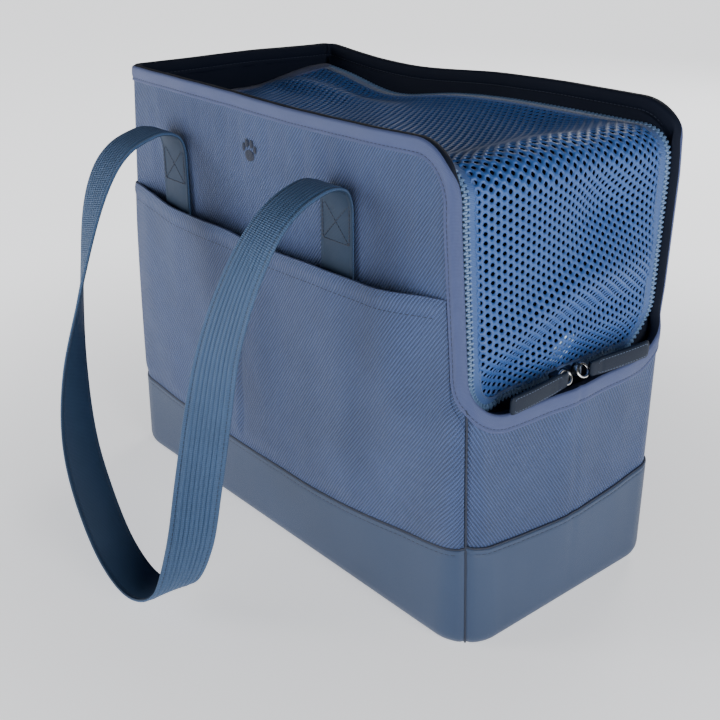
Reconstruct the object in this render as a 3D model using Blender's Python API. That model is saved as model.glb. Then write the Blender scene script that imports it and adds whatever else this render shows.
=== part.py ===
"""Pet carrier bag: a soft-sided tote with a mesh flap, two slip pockets and two carrying handles.

Built in metres, +Z up. The origin is the middle of the base on the floor, +X points to the low
end with the U-shaped mouth, -Y to the front. Lengths below are in millimetres until make().
"""
import math

import bmesh
import bpy
from mathutils import Vector

MM = 0.001

# Overall shape of the wall, measured on its outer face.
HALF_LENGTH = 196.0      # at the floor, both ends
HALF_WIDTH = 95.0
HEIGHT = 320.0
RIM_Z = 318.0            # fabric edge of the rim; the binding's fold brings it to 320
LEAN_LOW = 15.0          # how far the low end leans in between the floor and the rim
LEAN_HIGH = 32.0
RADIUS_LOW = 32.0        # plan radius of the two low-end corners at the floor
RADIUS_HIGH = 30.0
RADIUS_TOP = 10.0        # plan radius of every corner from RADIUS_Z up
RADIUS_Z = 200.0
SKEW = 6.0               # the low end's top is racked: front edge in, back edge out
SKEW_Z = (175.0, 275.0)
SKEW_X = (60.0, 170.0)
WALL = 4.0               # padded fabric
GAP = 0.3

# Mouth at the low end.
MOUTH_Z = 154.0          # fabric edge across the middle of the low end
MOUTH_R = 32.0           # fillet between the mouth's bottom and its sides, and corner at the top
BAND_Z = 66.0            # top of the coated band round the base
FOOT = 6.5               # height of the band's turned-in foot

# Layers, as distances from the wall's outer face (outwards is positive).
LINING = (-4.6, -6.0)
BINDING_DEPTH = 11.0
BINDING_OUT = (0.6, 1.7)
BINDING_IN = (-4.8, -5.9)
BINDING_FOLD = (0.8, 2.0)  # beyond the fabric's edge
ZIP_TAPE_D = -6.6

# Slip pockets.
POCKET_Z = 230.0
POCKET_GAP = 0.6
POCKET_THICK = 1.6
POCKET_BULGE = 9.0       # how far the mouth stands off the panel
POCKET_EDGE = 60.0       # distance from a seam over which it comes to stand off

# Mesh flap: a roof, a bend and a window in one sheet, hinged at the high end.
FLAP_Z = 303.0
FLAP_INSET = 13.0        # window behind the low end's outer face
FLAP_BEND = 18.0
HINGE_X = -150.0
FLAP_PIVOT = (HINGE_X, 0.0, FLAP_Z)
ZIP_HALF = 84.0          # middle of the teeth, from the bag's centre plane
ZIP_Z = 158.0            # middle of the teeth across the mouth's bottom
ZIP_R = 30.0
TEETH = (0.15, 2.4)      # from the middle of the zip to the row's edge
EDGE_TAPE = (2.7, 6.5)
MESH_FROM = 6.8
MESH_THICK = 1.5
TEETH_THICK = 2.4

# Carrying handles: 30 mm webbing.
WEBBING = 30.0
WEBBING_THICK = 2.4
ANCHOR_X = (79.0, -101.0)
ANCHOR_Z = (168.0, 277.5)
FOLD_Y = (100.0, 148.0)  # hinge line at the panel, and bend line at the fold's outer end
FOLD_Z = (279.5, 264.0)
FOLD_END_X = (83.0, -99.0)
FOLD_TRIM = 2.6          # left clear at both ends so that the bends can turn
# The loop hangs from one bend line to the other: x, y, z and the webbing's turn in degrees.
LOOP = (
    (83.0, -149.5, 262.2, 0.0),
    (67.0, -178.0, 203.0, 11.0),
    (52.0, -185.0, 130.0, 42.0),
    (54.0, -203.0, 58.0, 72.0),
    (22.0, -217.0, 24.0, 97.0),
    (-33.0, -220.0, 63.0, 100.0),
    (-70.0, -207.0, 137.0, 123.0),
    (-92.0, -173.0, 222.0, 165.0),
    (-99.0, -149.5, 262.2, 180.0),
)
LOOP_STEPS = 4

# Zip pulls: two sliders meet in the middle of the mouth's bottom.
SLIDER_Y = 6.0
POST_X = 187.6           # pivot of the pull, a short upright post on the slider
RING = (187.6, 8.3, 162.5)
RING_R = 4.6
RING_TILT = 55.0         # leaning back from the vertical post
WIRE_R = 0.9
# Slider sections from the teeth outwards and up the post: half length along the zip, then x and z
# of the lower or outer edge and of the upper or inner edge.
SLIDER = (
    (4.0, 177.3, 154.8, 177.3, 157.6),
    (4.5, 178.2, 153.9, 178.2, 157.9),
    (4.5, 181.2, 151.0, 181.2, 157.9),
    (1.6, 181.8, 156.5, 181.8, 157.9),
    (1.6, POST_X - 0.2, 156.5, POST_X - 1.4, 157.9),
    (1.0, POST_X + 0.9, 157.5, POST_X - 0.9, 158.9),
    (0.8, POST_X + 0.8, 159.6, POST_X - 0.8, 159.6),
    (0.8, POST_X + 0.8, 167.5, POST_X - 0.8, 167.5),
)
TAB_Y = (14.1, 66.0)
TAB_X = (190.9, 193.9)
TAB_Z = (157.5, 169.5)

TWILL = (0.085, 0.128, 0.225)
COATED = (0.080, 0.125, 0.205)
TAPE = (0.130, 0.165, 0.340)
MESH_BLUE = (0.050, 0.155, 0.400)
WEB_BLUE = (0.070, 0.150, 0.260)
DARK = (0.010, 0.016, 0.035)
SLATE = (0.050, 0.072, 0.110)
STEEL = (0.75, 0.75, 0.74)
MAT_GREY = (0.16, 0.19, 0.24)


def ramp(value, low, high):
    return min(1.0, max(0.0, (value - low) / (high - low)))


def rack(p):
    """The low end's top leans more at the front than at the back."""
    amount = SKEW * ramp(p.z, *SKEW_Z) * ramp(p.x, *SKEW_X)
    side = max(-1.0, min(1.0, p.y / HALF_WIDTH))
    return Vector((p.x + amount * side, p.y, p.z))


# ---------------------------------------------------------------- wall surface

def corner(index, z):
    """Centre and radius of a plan corner; 0 high front, 1 low front, 2 low back, 3 high back."""
    index %= 4
    low = index in (1, 2)
    start, lean = (RADIUS_LOW, LEAN_LOW) if low else (RADIUS_HIGH, LEAN_HIGH)
    radius = start + (RADIUS_TOP - start) * ramp(z, 0.0, RADIUS_Z)
    reach = HALF_LENGTH - lean * z / HEIGHT
    x = (reach - radius) * (1.0 if low else -1.0)
    y = (HALF_WIDTH - radius) * (-1.0 if index in (0, 1) else 1.0)
    return Vector((x, y, 0.0)), radius


def side_lengths(side, z):
    """Arc, straight and arc lengths of one side, seam to seam."""
    c0, r0 = corner(side, z)
    c1, r1 = corner(side + 1, z)
    along = Vector((math.cos(side * math.pi / 2), math.sin(side * math.pi / 2), 0.0))
    return r0 * math.pi / 4, (c1 - c0).dot(along), r1 * math.pi / 4


def wall(side, u, z, d):
    """Point on side 0 front, 1 low end, 2 back or 3 high end.

    u runs 0 to 1 round the first half corner, 1 to 2 along the straight and 2 to 3 round the
    second half corner; d is the distance outwards from the outer face.
    """
    facing = (side - 1) * math.pi / 2
    c0, r0 = corner(side, z)
    c1, r1 = corner(side + 1, z)
    if u < 1.0:
        angle = facing - math.pi / 4 * (1.0 - u)
        point = c0 + (r0 + d) * Vector((math.cos(angle), math.sin(angle), 0.0))
    elif u <= 2.0:
        out = Vector((math.cos(facing), math.sin(facing), 0.0))
        point = (c0 + (r0 + d) * out).lerp(c1 + (r1 + d) * out, u - 1.0)
    else:
        angle = facing + math.pi / 4 * (u - 2.0)
        point = c1 + (r1 + d) * Vector((math.cos(angle), math.sin(angle), 0.0))
    point.z = z
    return point


def u_from_start(side, m, z):
    arc, straight, last = side_lengths(side, z)
    if m < arc:
        return m / arc
    if m < arc + straight:
        return 1.0 + (m - arc) / straight
    return 2.0 + (m - arc - straight) / last


def u_from_end(side, m, z):
    return u_from_start(side, sum(side_lengths(side, z)) - m, z)


def chart(seam, m, z, d):
    """Point near a corner seam: m is the distance along the wall, negative before the seam."""
    if m < 0.0:
        return wall(seam - 1, u_from_end(seam - 1, -m, z), z, d)
    return wall(seam, u_from_start(seam, m, z), z, d)


# ---------------------------------------------------------------- mesh helpers

def material(name, colour, rough, metal=0.0):
    mat = bpy.data.materials.new(name)
    mat.use_nodes = True
    shader = mat.node_tree.nodes["Principled BSDF"]
    shader.inputs["Base Color"].default_value = (*colour, 1.0)
    shader.inputs["Roughness"].default_value = rough
    shader.inputs["Metallic"].default_value = metal
    mat.diffuse_color = (*colour, 1.0)
    return mat


def make(name, points, faces, colour, rough=0.8, metal=0.0, racked=True, mirror=False,
         smooth=False, pivot=(0.0, 0.0, 0.0)):
    """One closed object from millimetre points; mirror swaps front and back, pivot is its origin."""
    mesh = bpy.data.meshes.new(name)
    side = -1.0 if mirror else 1.0
    origin = Vector((pivot[0], side * pivot[1], pivot[2])) * MM
    placed = []
    for p in points:
        q = Vector((p[0], side * p[1], p[2]))
        placed.append((rack(q) if racked else q) * MM - origin)
    mesh.from_pydata([tuple(p) for p in placed], [], faces)
    work = bmesh.new()
    work.from_mesh(mesh)
    bmesh.ops.recalc_face_normals(work, faces=work.faces)
    for face in work.faces:
        face.smooth = smooth
    work.to_mesh(mesh)
    work.free()
    mesh.materials.append(material(name, colour, rough, metal))
    obj = bpy.data.objects.new(name, mesh)
    obj.location = origin
    bpy.context.scene.collection.objects.link(obj)
    return obj


def slab(name, outer, inner, colour, **look):
    """Closed sheet between two grids of points with the same rows and columns."""
    rows, cols = len(outer), len(outer[0])
    points = [p for row in outer for p in row] + [p for row in inner for p in row]
    back = rows * cols
    faces = []
    for i in range(rows - 1):
        for j in range(cols - 1):
            a = i * cols + j
            quad = (a, a + 1, a + cols + 1, a + cols)
            faces += [quad, tuple(back + v for v in reversed(quad))]
        for a in (i * cols, i * cols + cols - 1):
            faces.append((a, a + cols, back + a + cols, back + a))
    for j in range(cols - 1):
        for a in (j, (rows - 1) * cols + j):
            faces.append((a, a + 1, back + a + 1, back + a))
    return make(name, points, faces, colour, **look)


def loft(name, rings, colour, closed=False, **look):
    """Closed body through rings of points, capped unless the rings join up."""
    count = len(rings[0])
    points = [p for ring in rings for p in ring]
    faces = []
    for i in range(len(rings) if closed else len(rings) - 1):
        a, b = i * count, (i + 1) % len(rings) * count
        for j in range(count):
            k = (j + 1) % count
            faces.append((a + j, a + k, b + k, b + j))
    if not closed:
        last = (len(rings) - 1) * count
        faces += [tuple(reversed(range(count))), tuple(range(last, last + count))]
    return make(name, points, faces, colour, **look)


def box(name, low, high, colour, **look):
    corners = [(low[0], low[1]), (high[0], low[1]), (high[0], high[1]), (low[0], high[1])]
    rings = [[(x, y, z) for x, y in corners] for z in (low[2], high[2])]
    return loft(name, rings, colour, **look)


def rectangle(centre, across, through, width, thick):
    """Four corners of a webbing or tape section."""
    a, t = across * width / 2, through * thick / 2
    return [centre - a - t, centre + a - t, centre + a + t, centre - a + t]


# ---------------------------------------------------------------- walls

SEAM = 0.015                       # how far a side stops short of its seam, in u
START_US = [SEAM, 0.22, 0.61, 1.0, 1.25, 1.5, 1.75]
TURN_US = [2.0, 2.39, 2.78]
HIGH_US = [SEAM, 0.22, 0.61, 1.0, 1.5, 2.0, 2.39, 2.78, 3.0 - SEAM]
FRONT_US = START_US + [u_from_end(0, m, RIM_Z) for m in (32.0, 20.0, 12.0)] + TURN_US + [3.0 - SEAM]
FILLET_TURNS = [math.radians(9.0 * step) for step in range(11)]


def mouth_corner():
    """Stations and edge heights of the fillet between the mouth's side and its bottom."""
    for t in FILLET_TURNS[::2]:
        m = MOUTH_R * (1.0 - math.cos(t))
        z = MOUTH_Z + MOUTH_R * (1.0 - math.sin(t))
        yield max(u_from_start(1, m, z), SEAM), z


LOW_HALF = list(mouth_corner())
LOW_EDGE = LOW_HALF + [(1.5, MOUTH_Z)] + [(3.0 - u, z) for u, z in reversed(LOW_HALF)]
LOW_US = [u for u, _ in LOW_EDGE]


def rounded_top(u, radius):
    """Height at station u of an arc concentric with the front's rounded top corner."""
    m = sum(side_lengths(0, RIM_Z)) - m_at(0, u, RIM_Z)
    drop = max(0.0, MOUTH_R - m)
    return RIM_Z - MOUTH_R + math.sqrt(max(0.0, radius ** 2 - drop ** 2))


def m_at(side, u, z):
    """Distance from the side's first seam at station u."""
    arc, straight, last = side_lengths(side, z)
    if u < 1.0:
        return u * arc
    if u <= 2.0:
        return arc + (u - 1.0) * straight
    return arc + straight + (u - 2.0) * last


def layer(name, side, stations, heights, depths, colour, **look):
    """Sheet that follows one side; heights(u) lists its rows, depths are its two faces."""
    outer, inner = ([[wall(side, u, z, d) for z in heights(u)] for u in stations] for d in depths)
    return slab(name, outer, inner, colour, **look)


def build_walls():
    low_top = dict(LOW_EDGE)
    rows = [SKEW_Z[0], RADIUS_Z, POCKET_Z, SKEW_Z[1]]
    start = BAND_Z + GAP
    fabric = (0.0, -WALL)

    for name, mirror in (("panel_front", False), ("panel_back", True)):
        layer(name, 0, FRONT_US, lambda u: [start, *rows, rounded_top(u, MOUTH_R)], fabric, TWILL,
              mirror=mirror)
    layer("panel_low_end", 1, LOW_US,
          lambda u: [start, 110.0, min(SKEW_Z[0], low_top[u] - 4.0), low_top[u]], fabric, TWILL)
    layer("panel_high_end", 3, HIGH_US, lambda u: [start, RADIUS_Z, RIM_Z], fabric, TWILL)

    outside = ((-6.0, 0.0), (-2.0, 2.0), (0.0, 7.0), (0.0, BAND_Z))
    inside = ((-10.0, 0.0), (-10.0, FOOT), (-WALL, FOOT), (-WALL, BAND_Z))
    for name, side, stations, mirror in (("band_front", 0, FRONT_US, False),
                                         ("band_back", 0, FRONT_US, True),
                                         ("band_low_end", 1, LOW_US, False),
                                         ("band_high_end", 3, HIGH_US, False)):
        outer, inner = ([[wall(side, u, z, d) for d, z in profile] for u in stations]
                        for profile in (outside, inside))
        slab(name, outer, inner, COATED, rough=0.55, mirror=mirror)

    floor = FOOT + GAP
    free = BINDING_DEPTH + 0.5
    lined = [u for u in FRONT_US if u < u_from_end(0, 16.5, RIM_Z)]

    rows = [floor, 25.0, 50.0, 75.0, 100.0, 125.0, 150.0, *rows]
    for name, mirror in (("lining_front", False), ("lining_back", True)):
        grids = []
        for d in LINING:
            grid = [[wall(0, u, z, d) for z in (*rows, rounded_top(u, MOUTH_R - free))]
                    for u in lined]
            for limit, m in ((TURN_US[0], 16.0), (TURN_US[1], free + 1.0)):
                top = rounded_top(u_from_end(0, m, RIM_Z), MOUTH_R - free)
                grid.append([wall(0, min(limit, u_from_end(0, m, z)), z, d) for z in (*rows, top)])
            grids.append(grid)
        slab(name, *grids, DARK, mirror=mirror)
    layer("lining_low_end", 1, LOW_US, lambda u: [floor, MOUTH_Z - free], LINING, DARK)
    layer("lining_high_end", 3, HIGH_US, lambda u: [floor, RADIUS_Z, RIM_Z - free], LINING, DARK)


def outline(z, d):
    """Closed plan outline at height z, d outside the wall's face."""
    front = [wall(0, u, z, d) for u in START_US + TURN_US]
    low = [wall(1, u, z, d) for u in LOW_US]
    back = [Vector((p.x, -p.y, p.z)) for p in reversed(front)]
    return front + low + back + [wall(3, u, z, d) for u in HIGH_US]


def build_floor():
    loft("base_panel", [outline(z, -10.0 - GAP) for z in (0.0, FOOT)], COATED, rough=0.6)
    board = FOOT + GAP
    loft("base_board", [outline(z, LINING[1] - GAP) for z in (board, board + 3.0)], DARK, rough=0.6)
    mat = board + 3.0 + GAP
    loft("cushion_mat", [outline(mat, -12.0), outline(mat + 4.0, -8.0), outline(mat + 15.0, -8.0),
                         outline(mat + 20.0, -14.0)], MAT_GREY, rough=0.95)


# ---------------------------------------------------------------- pockets

def build_pockets():
    """Slip pockets; at the low end the upper corner stops short of the mouth's binding."""
    reach = sum(side_lengths(0, POCKET_Z))
    from_start = [m_at(0, u, POCKET_Z) for u in (0.22, 0.61, 1.0)] + [30.0, 60.0, 110.0, reach / 2]
    from_end = ((110.0, 110.0), (60.0, 60.0), (34.0, 38.0), (22.0, 28.0), (11.0, 19.0), (2.2, 12.0))

    def columns(z):
        """Station and distance from the nearer seam for each column at height z."""
        rise = ramp(z, 150.0, 170.0)
        for index, m in enumerate(from_start):
            yield ((0.22, 0.61, 1.0)[index] if index < 3 else u_from_start(0, m, z)), m
        for low, high in from_end:
            yield u_from_end(0, low + (high - low) * rise, z), high

    def stand_off(m):
        t = ramp(m, 2.0, POCKET_EDGE)
        return POCKET_BULGE * t * t * (3.0 - 2.0 * t)

    heights = (BAND_Z + GAP, 95.0, 125.0, 150.0, 155.0, 160.0, 165.0, 170.0, SKEW_Z[0], RADIUS_Z,
               POCKET_Z)
    for name, mirror in (("pocket_front", False), ("pocket_back", True)):
        grids = []
        for extra in (POCKET_GAP + POCKET_THICK, POCKET_GAP):
            by_height = [[wall(0, u, z, extra + stand_off(m) * ramp(z, BAND_Z, POCKET_Z))
                          for u, m in columns(z)] for z in heights]
            grids.append([list(column) for column in zip(*by_height)])
        slab(name, *grids, TWILL, mirror=mirror)


# ---------------------------------------------------------------- bindings and welts

def binding_section(seam, m, z, turn):
    """Channel round a fabric edge; turn is the direction away from the fabric, in the chart."""
    da, dz = math.cos(turn), math.sin(turn)
    legs = (-BINDING_DEPTH, -7.4, -4.2, -1.5)
    faces = []
    for near, far, fold in zip(BINDING_OUT, BINDING_IN, BINDING_FOLD):
        row = [(a, near) for a in legs] + [(fold, near), (fold, far)] + [(a, far) for a in reversed(legs)]
        faces.append([chart(seam, m + a * da, z + a * dz, d) for a, d in row])
    return faces


def build_bindings():
    right = math.pi / 2
    arc, straight, _ = side_lengths(0, RIM_Z)
    length = 2 * arc + straight
    runs = [0.15, arc * 0.34, arc * 0.67, arc, length * 0.25, length * 0.5, length * 0.75]
    path = [(m - length, RIM_Z, right) for m in runs]
    for t in reversed(FILLET_TURNS[::2]):
        path.append((MOUTH_R * (math.cos(t) - 1.0), RIM_Z + MOUTH_R * (math.sin(t) - 1.0), t))
    inner, outer = zip(*(binding_section(1, *station) for station in path))
    for name, mirror in (("rim_binding_front", False), ("rim_binding_back", True)):
        slab(name, list(outer), list(inner), TAPE, mirror=mirror)

    fillet = MOUTH_Z + MOUTH_R
    path = [(0.0, z, 0.0) for z in (RIM_Z - MOUTH_R - GAP, SKEW_Z[1], POCKET_Z, RADIUS_Z)]
    for t in FILLET_TURNS:
        path.append((MOUTH_R * (1.0 - math.cos(t)), fillet - MOUTH_R * math.sin(t), t))
    inner, outer = zip(*(binding_section(1, *station) for station in path))
    halves = [list(face) + [[Vector((p.x, -p.y, p.z)) for p in row] for row in reversed(face)]
              for face in (outer, inner)]
    slab("rim_binding_mouth", *halves, TAPE)

    arc, straight, _ = side_lengths(3, RIM_Z)
    runs = [0.15, arc * 0.34, arc * 0.67, arc, arc + straight / 2]
    runs += [2 * arc + straight - m for m in reversed(runs[:-1])]
    inner, outer = zip(*(binding_section(3, m, RIM_Z, right) for m in runs))
    slab("rim_binding_high_end", list(outer), list(inner), TAPE)


def build_welts():
    radius, sides = 1.3, 6
    for name, seam, mirror in (("corner_welt_low_front", 1, False), ("corner_welt_low_back", 1, True),
                               ("corner_welt_high_front", 0, False), ("corner_welt_high_back", 0, True)):
        end = MOUTH_Z if seam == 1 else RIM_Z - BINDING_DEPTH - GAP
        heights = [9.0, 60.0, 110.0, end] if seam == 1 else [9.0, 100.0, RADIUS_Z, end]
        facing = (seam - 1) * math.pi / 2 - math.pi / 4
        out = Vector((math.cos(facing), math.sin(facing), 0.0))
        along = Vector((-out.y, out.x, 0.0))
        rings = []
        for z in heights:
            centre = chart(seam, 0.0, z, radius + GAP)
            rings.append([centre + radius * (math.cos(a) * out + math.sin(a) * along)
                          for a in (2 * math.pi * k / sides for k in range(sides))])
        loft(name, rings, TWILL, mirror=mirror, smooth=True)


# ---------------------------------------------------------------- flap and zip

def window_x(z):
    return HALF_LENGTH - LEAN_LOW * z / HEIGHT - FLAP_INSET


BEND_Z = FLAP_Z - FLAP_BEND
BEND_X = window_x(BEND_Z) - FLAP_BEND
ROOF = BEND_X - HINGE_X
ARC = FLAP_BEND * math.pi / 2
DROP = BEND_Z - ZIP_Z
FLAP_END = ROOF + ARC + DROP


def flap(q, y, h):
    """Point on the flap: q runs from the hinge over the roof and down the window, h outwards."""
    if q <= ROOF:
        return Vector((HINGE_X + q, y, FLAP_Z + h))
    if q <= ROOF + ARC:
        t = math.pi / 2 - (q - ROOF) / FLAP_BEND
        radius = FLAP_BEND + h
        return Vector((BEND_X + radius * math.cos(t), y, BEND_Z + radius * math.sin(t)))
    z = BEND_Z - (q - ROOF - ARC)
    return Vector((window_x(z) + h, y, z))


def zip_path(offset, first=5.0):
    """Half of the zip's line, from the hinge end to the middle of the mouth's bottom."""
    side = ZIP_HALF - offset
    for q in (first, ROOF * 0.35, ROOF * 0.7, ROOF):
        yield q, -side
    for step in range(1, 5):
        yield ROOF + ARC * step / 4, -side
    centre_q = FLAP_END - ZIP_R
    for z in (SKEW_Z[1], RADIUS_Z):
        yield ROOF + ARC + BEND_Z - z, -side
    radius = ZIP_R - offset
    for step in range(0, 6):
        t = math.pi / 2 * step / 5
        yield centre_q + radius * math.sin(t), -(ZIP_HALF - ZIP_R) - radius * math.cos(t)
    yield FLAP_END - offset, 0.0


def zip_strip(name, inner_offset, outer_offset, thick, colour, rough, pivot=(0.0, 0.0, 0.0)):
    """Strip along the zip between two offsets; positive offsets lie on the flap's side."""
    grids = []
    for h in (thick / 2, -thick / 2):
        rows = [[flap(*a, h), flap(*b, h)] for a, b in zip(zip_path(inner_offset), zip_path(outer_offset))]
        rows += [[Vector((p.x, -p.y, p.z)) for p in row] for row in reversed(rows[:-1])]
        grids.append(rows)
    slab(name, *grids, colour, rough=rough, pivot=pivot)


def build_flap():
    zip_strip("zip_teeth_flap", *TEETH, TEETH_THICK, MESH_BLUE, 0.4, FLAP_PIVOT)
    zip_strip("zip_teeth_bag", -TEETH[1], -TEETH[0], TEETH_THICK, MESH_BLUE, 0.4)
    zip_strip("flap_edge_tape", *EDGE_TAPE, MESH_THICK, TAPE, 0.7, FLAP_PIVOT)

    outline_half = list(zip_path(MESH_FROM, 4.0))
    columns = (-1.0, -0.5, 0.0, 0.5, 1.0)
    grids = [[[flap(q, -y * c, h) for c in columns] for q, y in outline_half[:-1]]
             for h in (MESH_THICK / 2, -MESH_THICK / 2)]
    slab("mesh_flap", *grids, MESH_BLUE, rough=0.7, pivot=FLAP_PIVOT)

    hem_x = chart(0, 0.0, FLAP_Z, LINING[1]).x + 4.0
    box("flap_hem", (hem_x, -ZIP_HALF, FLAP_Z - 0.8), (HINGE_X - 0.6, ZIP_HALF, FLAP_Z + 0.8),
        MESH_BLUE, racked=False)


def build_zip_tape():
    """Tape from the binding's inside down or across to the bag's row of teeth."""
    edge = list(zip_path(-TEETH[1] - 0.8))
    depth = BINDING_DEPTH * 0.55
    face = ZIP_TAPE_D
    rail = []
    for index, (q, y) in enumerate(edge):
        p = flap(q, y, 0.0)
        if index < 4:
            rail.append(Vector((p.x, -HALF_WIDTH - face, RIM_Z - depth)))
        elif index < 8:
            t = math.pi / 2 * (1 - (index - 3) / 4)
            radius = MOUTH_R - depth
            rail.append(chart(1, radius * math.cos(t) - MOUTH_R,
                              RIM_Z - MOUTH_R + radius * math.sin(t), face))
        elif index < 10:
            rail.append(chart(1, -depth, p.z, face))
        elif index < 16:
            t = math.pi / 2 * (index - 10) / 5
            radius = MOUTH_R + depth
            rail.append(chart(1, MOUTH_R - radius * math.cos(t),
                              MOUTH_Z + MOUTH_R - radius * math.sin(t), face))
        else:
            rail.append(wall(1, 1.5, MOUTH_Z - depth, face))
    inner = [flap(q, y, 0.0) for q, y in edge]
    rail += [Vector((p.x, -p.y, p.z)) for p in reversed(rail[:-1])]
    inner += [Vector((p.x, -p.y, p.z)) for p in reversed(inner[:-1])]
    grids = ([], [])
    for i, (a, b) in enumerate(zip(rail, inner)):
        before, after = inner[max(i - 1, 0)], inner[min(i + 1, len(inner) - 1)]
        normal = (b - a).cross(after - before).normalized() * 0.4
        inward = (b - a).normalized() * 0.1
        grids[0].append([a + inward + normal, b + normal])
        grids[1].append([a + inward - normal, b - normal])
    slab("zip_tape_bag", *grids, TAPE)


def torus(name, centre, axis_u, axis_v, radius, wire, colour, steps=16, sides=6, **look):
    """Closed wire ring in the plane of two unit vectors."""
    normal = axis_u.cross(axis_v)
    rings = []
    for k in range(steps):
        a = 2 * math.pi * k / steps
        out = axis_u * math.cos(a) + axis_v * math.sin(a)
        rings.append([centre + out * (radius + wire * math.cos(b)) + normal * wire * math.sin(b)
                      for b in (2 * math.pi * s / sides for s in range(sides))])
    return loft(name, rings, colour, closed=True, smooth=True, **look)


def build_pulls():
    for side, mirror in (("front", False), ("back", True)):
        rings = [[(x0, -SLIDER_Y - h, z0), (x0, -SLIDER_Y + h, z0), (x1, -SLIDER_Y + h, z1),
                  (x1, -SLIDER_Y - h, z1)] for h, x0, z0, x1, z1 in SLIDER]
        post = (POST_X, -SLIDER_Y, RING[2])
        loft(f"zip_slider_{side}", rings, STEEL, rough=0.3, metal=1.0, racked=False, mirror=mirror,
             pivot=post)
        tilt = math.radians(RING_TILT)
        torus(f"pull_ring_{side}", Vector((RING[0], -RING[1], RING[2])), Vector((0.0, 1.0, 0.0)),
              Vector((-math.cos(tilt), 0.0, math.sin(tilt))), RING_R, WIRE_R, STEEL, rough=0.25,
              metal=1.0, racked=False, mirror=mirror, pivot=post)
        half, chamfer = (TAB_Z[1] - TAB_Z[0]) / 2, 2.5
        mid = (TAB_Z[0] + TAB_Z[1]) / 2
        rings = []
        for y, h in ((TAB_Y[0], half - chamfer), (TAB_Y[0] + chamfer, half),
                     (TAB_Y[1] - chamfer, half), (TAB_Y[1], half - chamfer)):
            rings.append([(TAB_X[0], -y, mid - h), (TAB_X[1], -y, mid - h),
                          (TAB_X[1], -y, mid + h), (TAB_X[0], -y, mid + h)])
        loft(f"pull_tab_{side}", rings, SLATE, rough=0.6, racked=False, mirror=mirror, pivot=post)


# ---------------------------------------------------------------- handles

def spline(controls, steps):
    """Catmull-Rom curve through points with an extra value each."""
    pts = [controls[0], *controls, controls[-1]]
    out = []
    for i in range(len(controls) - 1):
        p0, p1, p2, p3 = (Vector(p) for p in pts[i:i + 4])
        for s in range(steps if i < len(controls) - 2 else steps + 1):
            t = s / steps
            out.append(0.5 * ((2 * p1) + (p2 - p0) * t + (2 * p0 - 5 * p1 + 4 * p2 - p3) * t * t
                              + (3 * p1 - p0 - 3 * p2 + p3) * t ** 3))
    return out


def build_handles():
    curve = spline(LOOP, LOOP_STEPS)
    rings = []
    for i, station in enumerate(curve):
        tangent = (curve[min(i + 1, len(curve) - 1)] - curve[max(i - 1, 0)]).to_3d().normalized()
        turn = math.radians(station[3])
        across = Vector((-math.cos(turn), -math.sin(turn), 0.0))
        across = (across - tangent * across.dot(tangent)).normalized()
        rings.append(rectangle(station.to_3d(), across, tangent.cross(across), WEBBING, WEBBING_THICK))

    for side, mirror in (("front", False), ("back", True)):
        loft(f"handle_loop_{side}", rings, WEB_BLUE, racked=False, mirror=mirror,
             pivot=(0.0, -FOLD_Y[1], FOLD_Z[1]))
        for end, x, x_end in (("low", ANCHOR_X[0], FOLD_END_X[0]), ("high", ANCHOR_X[1], FOLD_END_X[1])):
            face = -HALF_WIDTH - GAP
            box(f"handle_anchor_{side}_{end}", (x - WEBBING / 2, face - WEBBING_THICK, ANCHOR_Z[0]),
                (x + WEBBING / 2, face, ANCHOR_Z[1]), WEB_BLUE, racked=False, mirror=mirror)
            start = Vector((x, -FOLD_Y[0], FOLD_Z[0]))
            stop = Vector((x_end, -FOLD_Y[1], FOLD_Z[1]))
            way = (stop - start).normalized()
            across = Vector((1.0, 0.0, 0.0))
            through = way.cross(across).normalized()
            ends = (start + way * FOLD_TRIM, stop - way * FOLD_TRIM)
            loft(f"handle_fold_{side}_{end}", [rectangle(p, across, through, WEBBING, WEBBING_THICK)
                                               for p in ends], WEB_BLUE, racked=False, mirror=mirror,
                 pivot=(0.0, -FOLD_Y[0], FOLD_Z[0]))


def build_tether():
    """Short strap and ring on the high end's lining, for the animal's harness."""
    z_top, z_low = 236.0, 196.0
    face = [wall(3, 1.5, z, LINING[1] - GAP) for z in (z_low, z_top)]
    rings = []
    for p in face:
        rings.append([(p.x, -10.0, p.z), (p.x, 10.0, p.z), (p.x + 2.0, 10.0, p.z), (p.x + 2.0, -10.0, p.z)])
    loft("tether_strap", rings, WEB_BLUE)
    centre = Vector((face[0].x + 4.4, 0.0, z_low - 6.0))
    torus("tether_ring", centre, Vector((0, 1, 0)), Vector((0, 0, 1)), 10.0, 1.5, STEEL,
          rough=0.25, metal=1.0)


for old in list(bpy.data.objects):
    bpy.data.objects.remove(old)
build_walls()
build_floor()
build_pockets()
build_bindings()
build_welts()
build_flap()
build_zip_tape()
build_pulls()
build_handles()
build_tether()
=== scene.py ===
"""Looks of the pet carrier bag: cloth shells, webbing, mesh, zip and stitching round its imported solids.

Lengths are in millimetres until make(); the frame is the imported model's own.
"""
import math

import bpy
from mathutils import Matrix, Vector, noise


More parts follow.
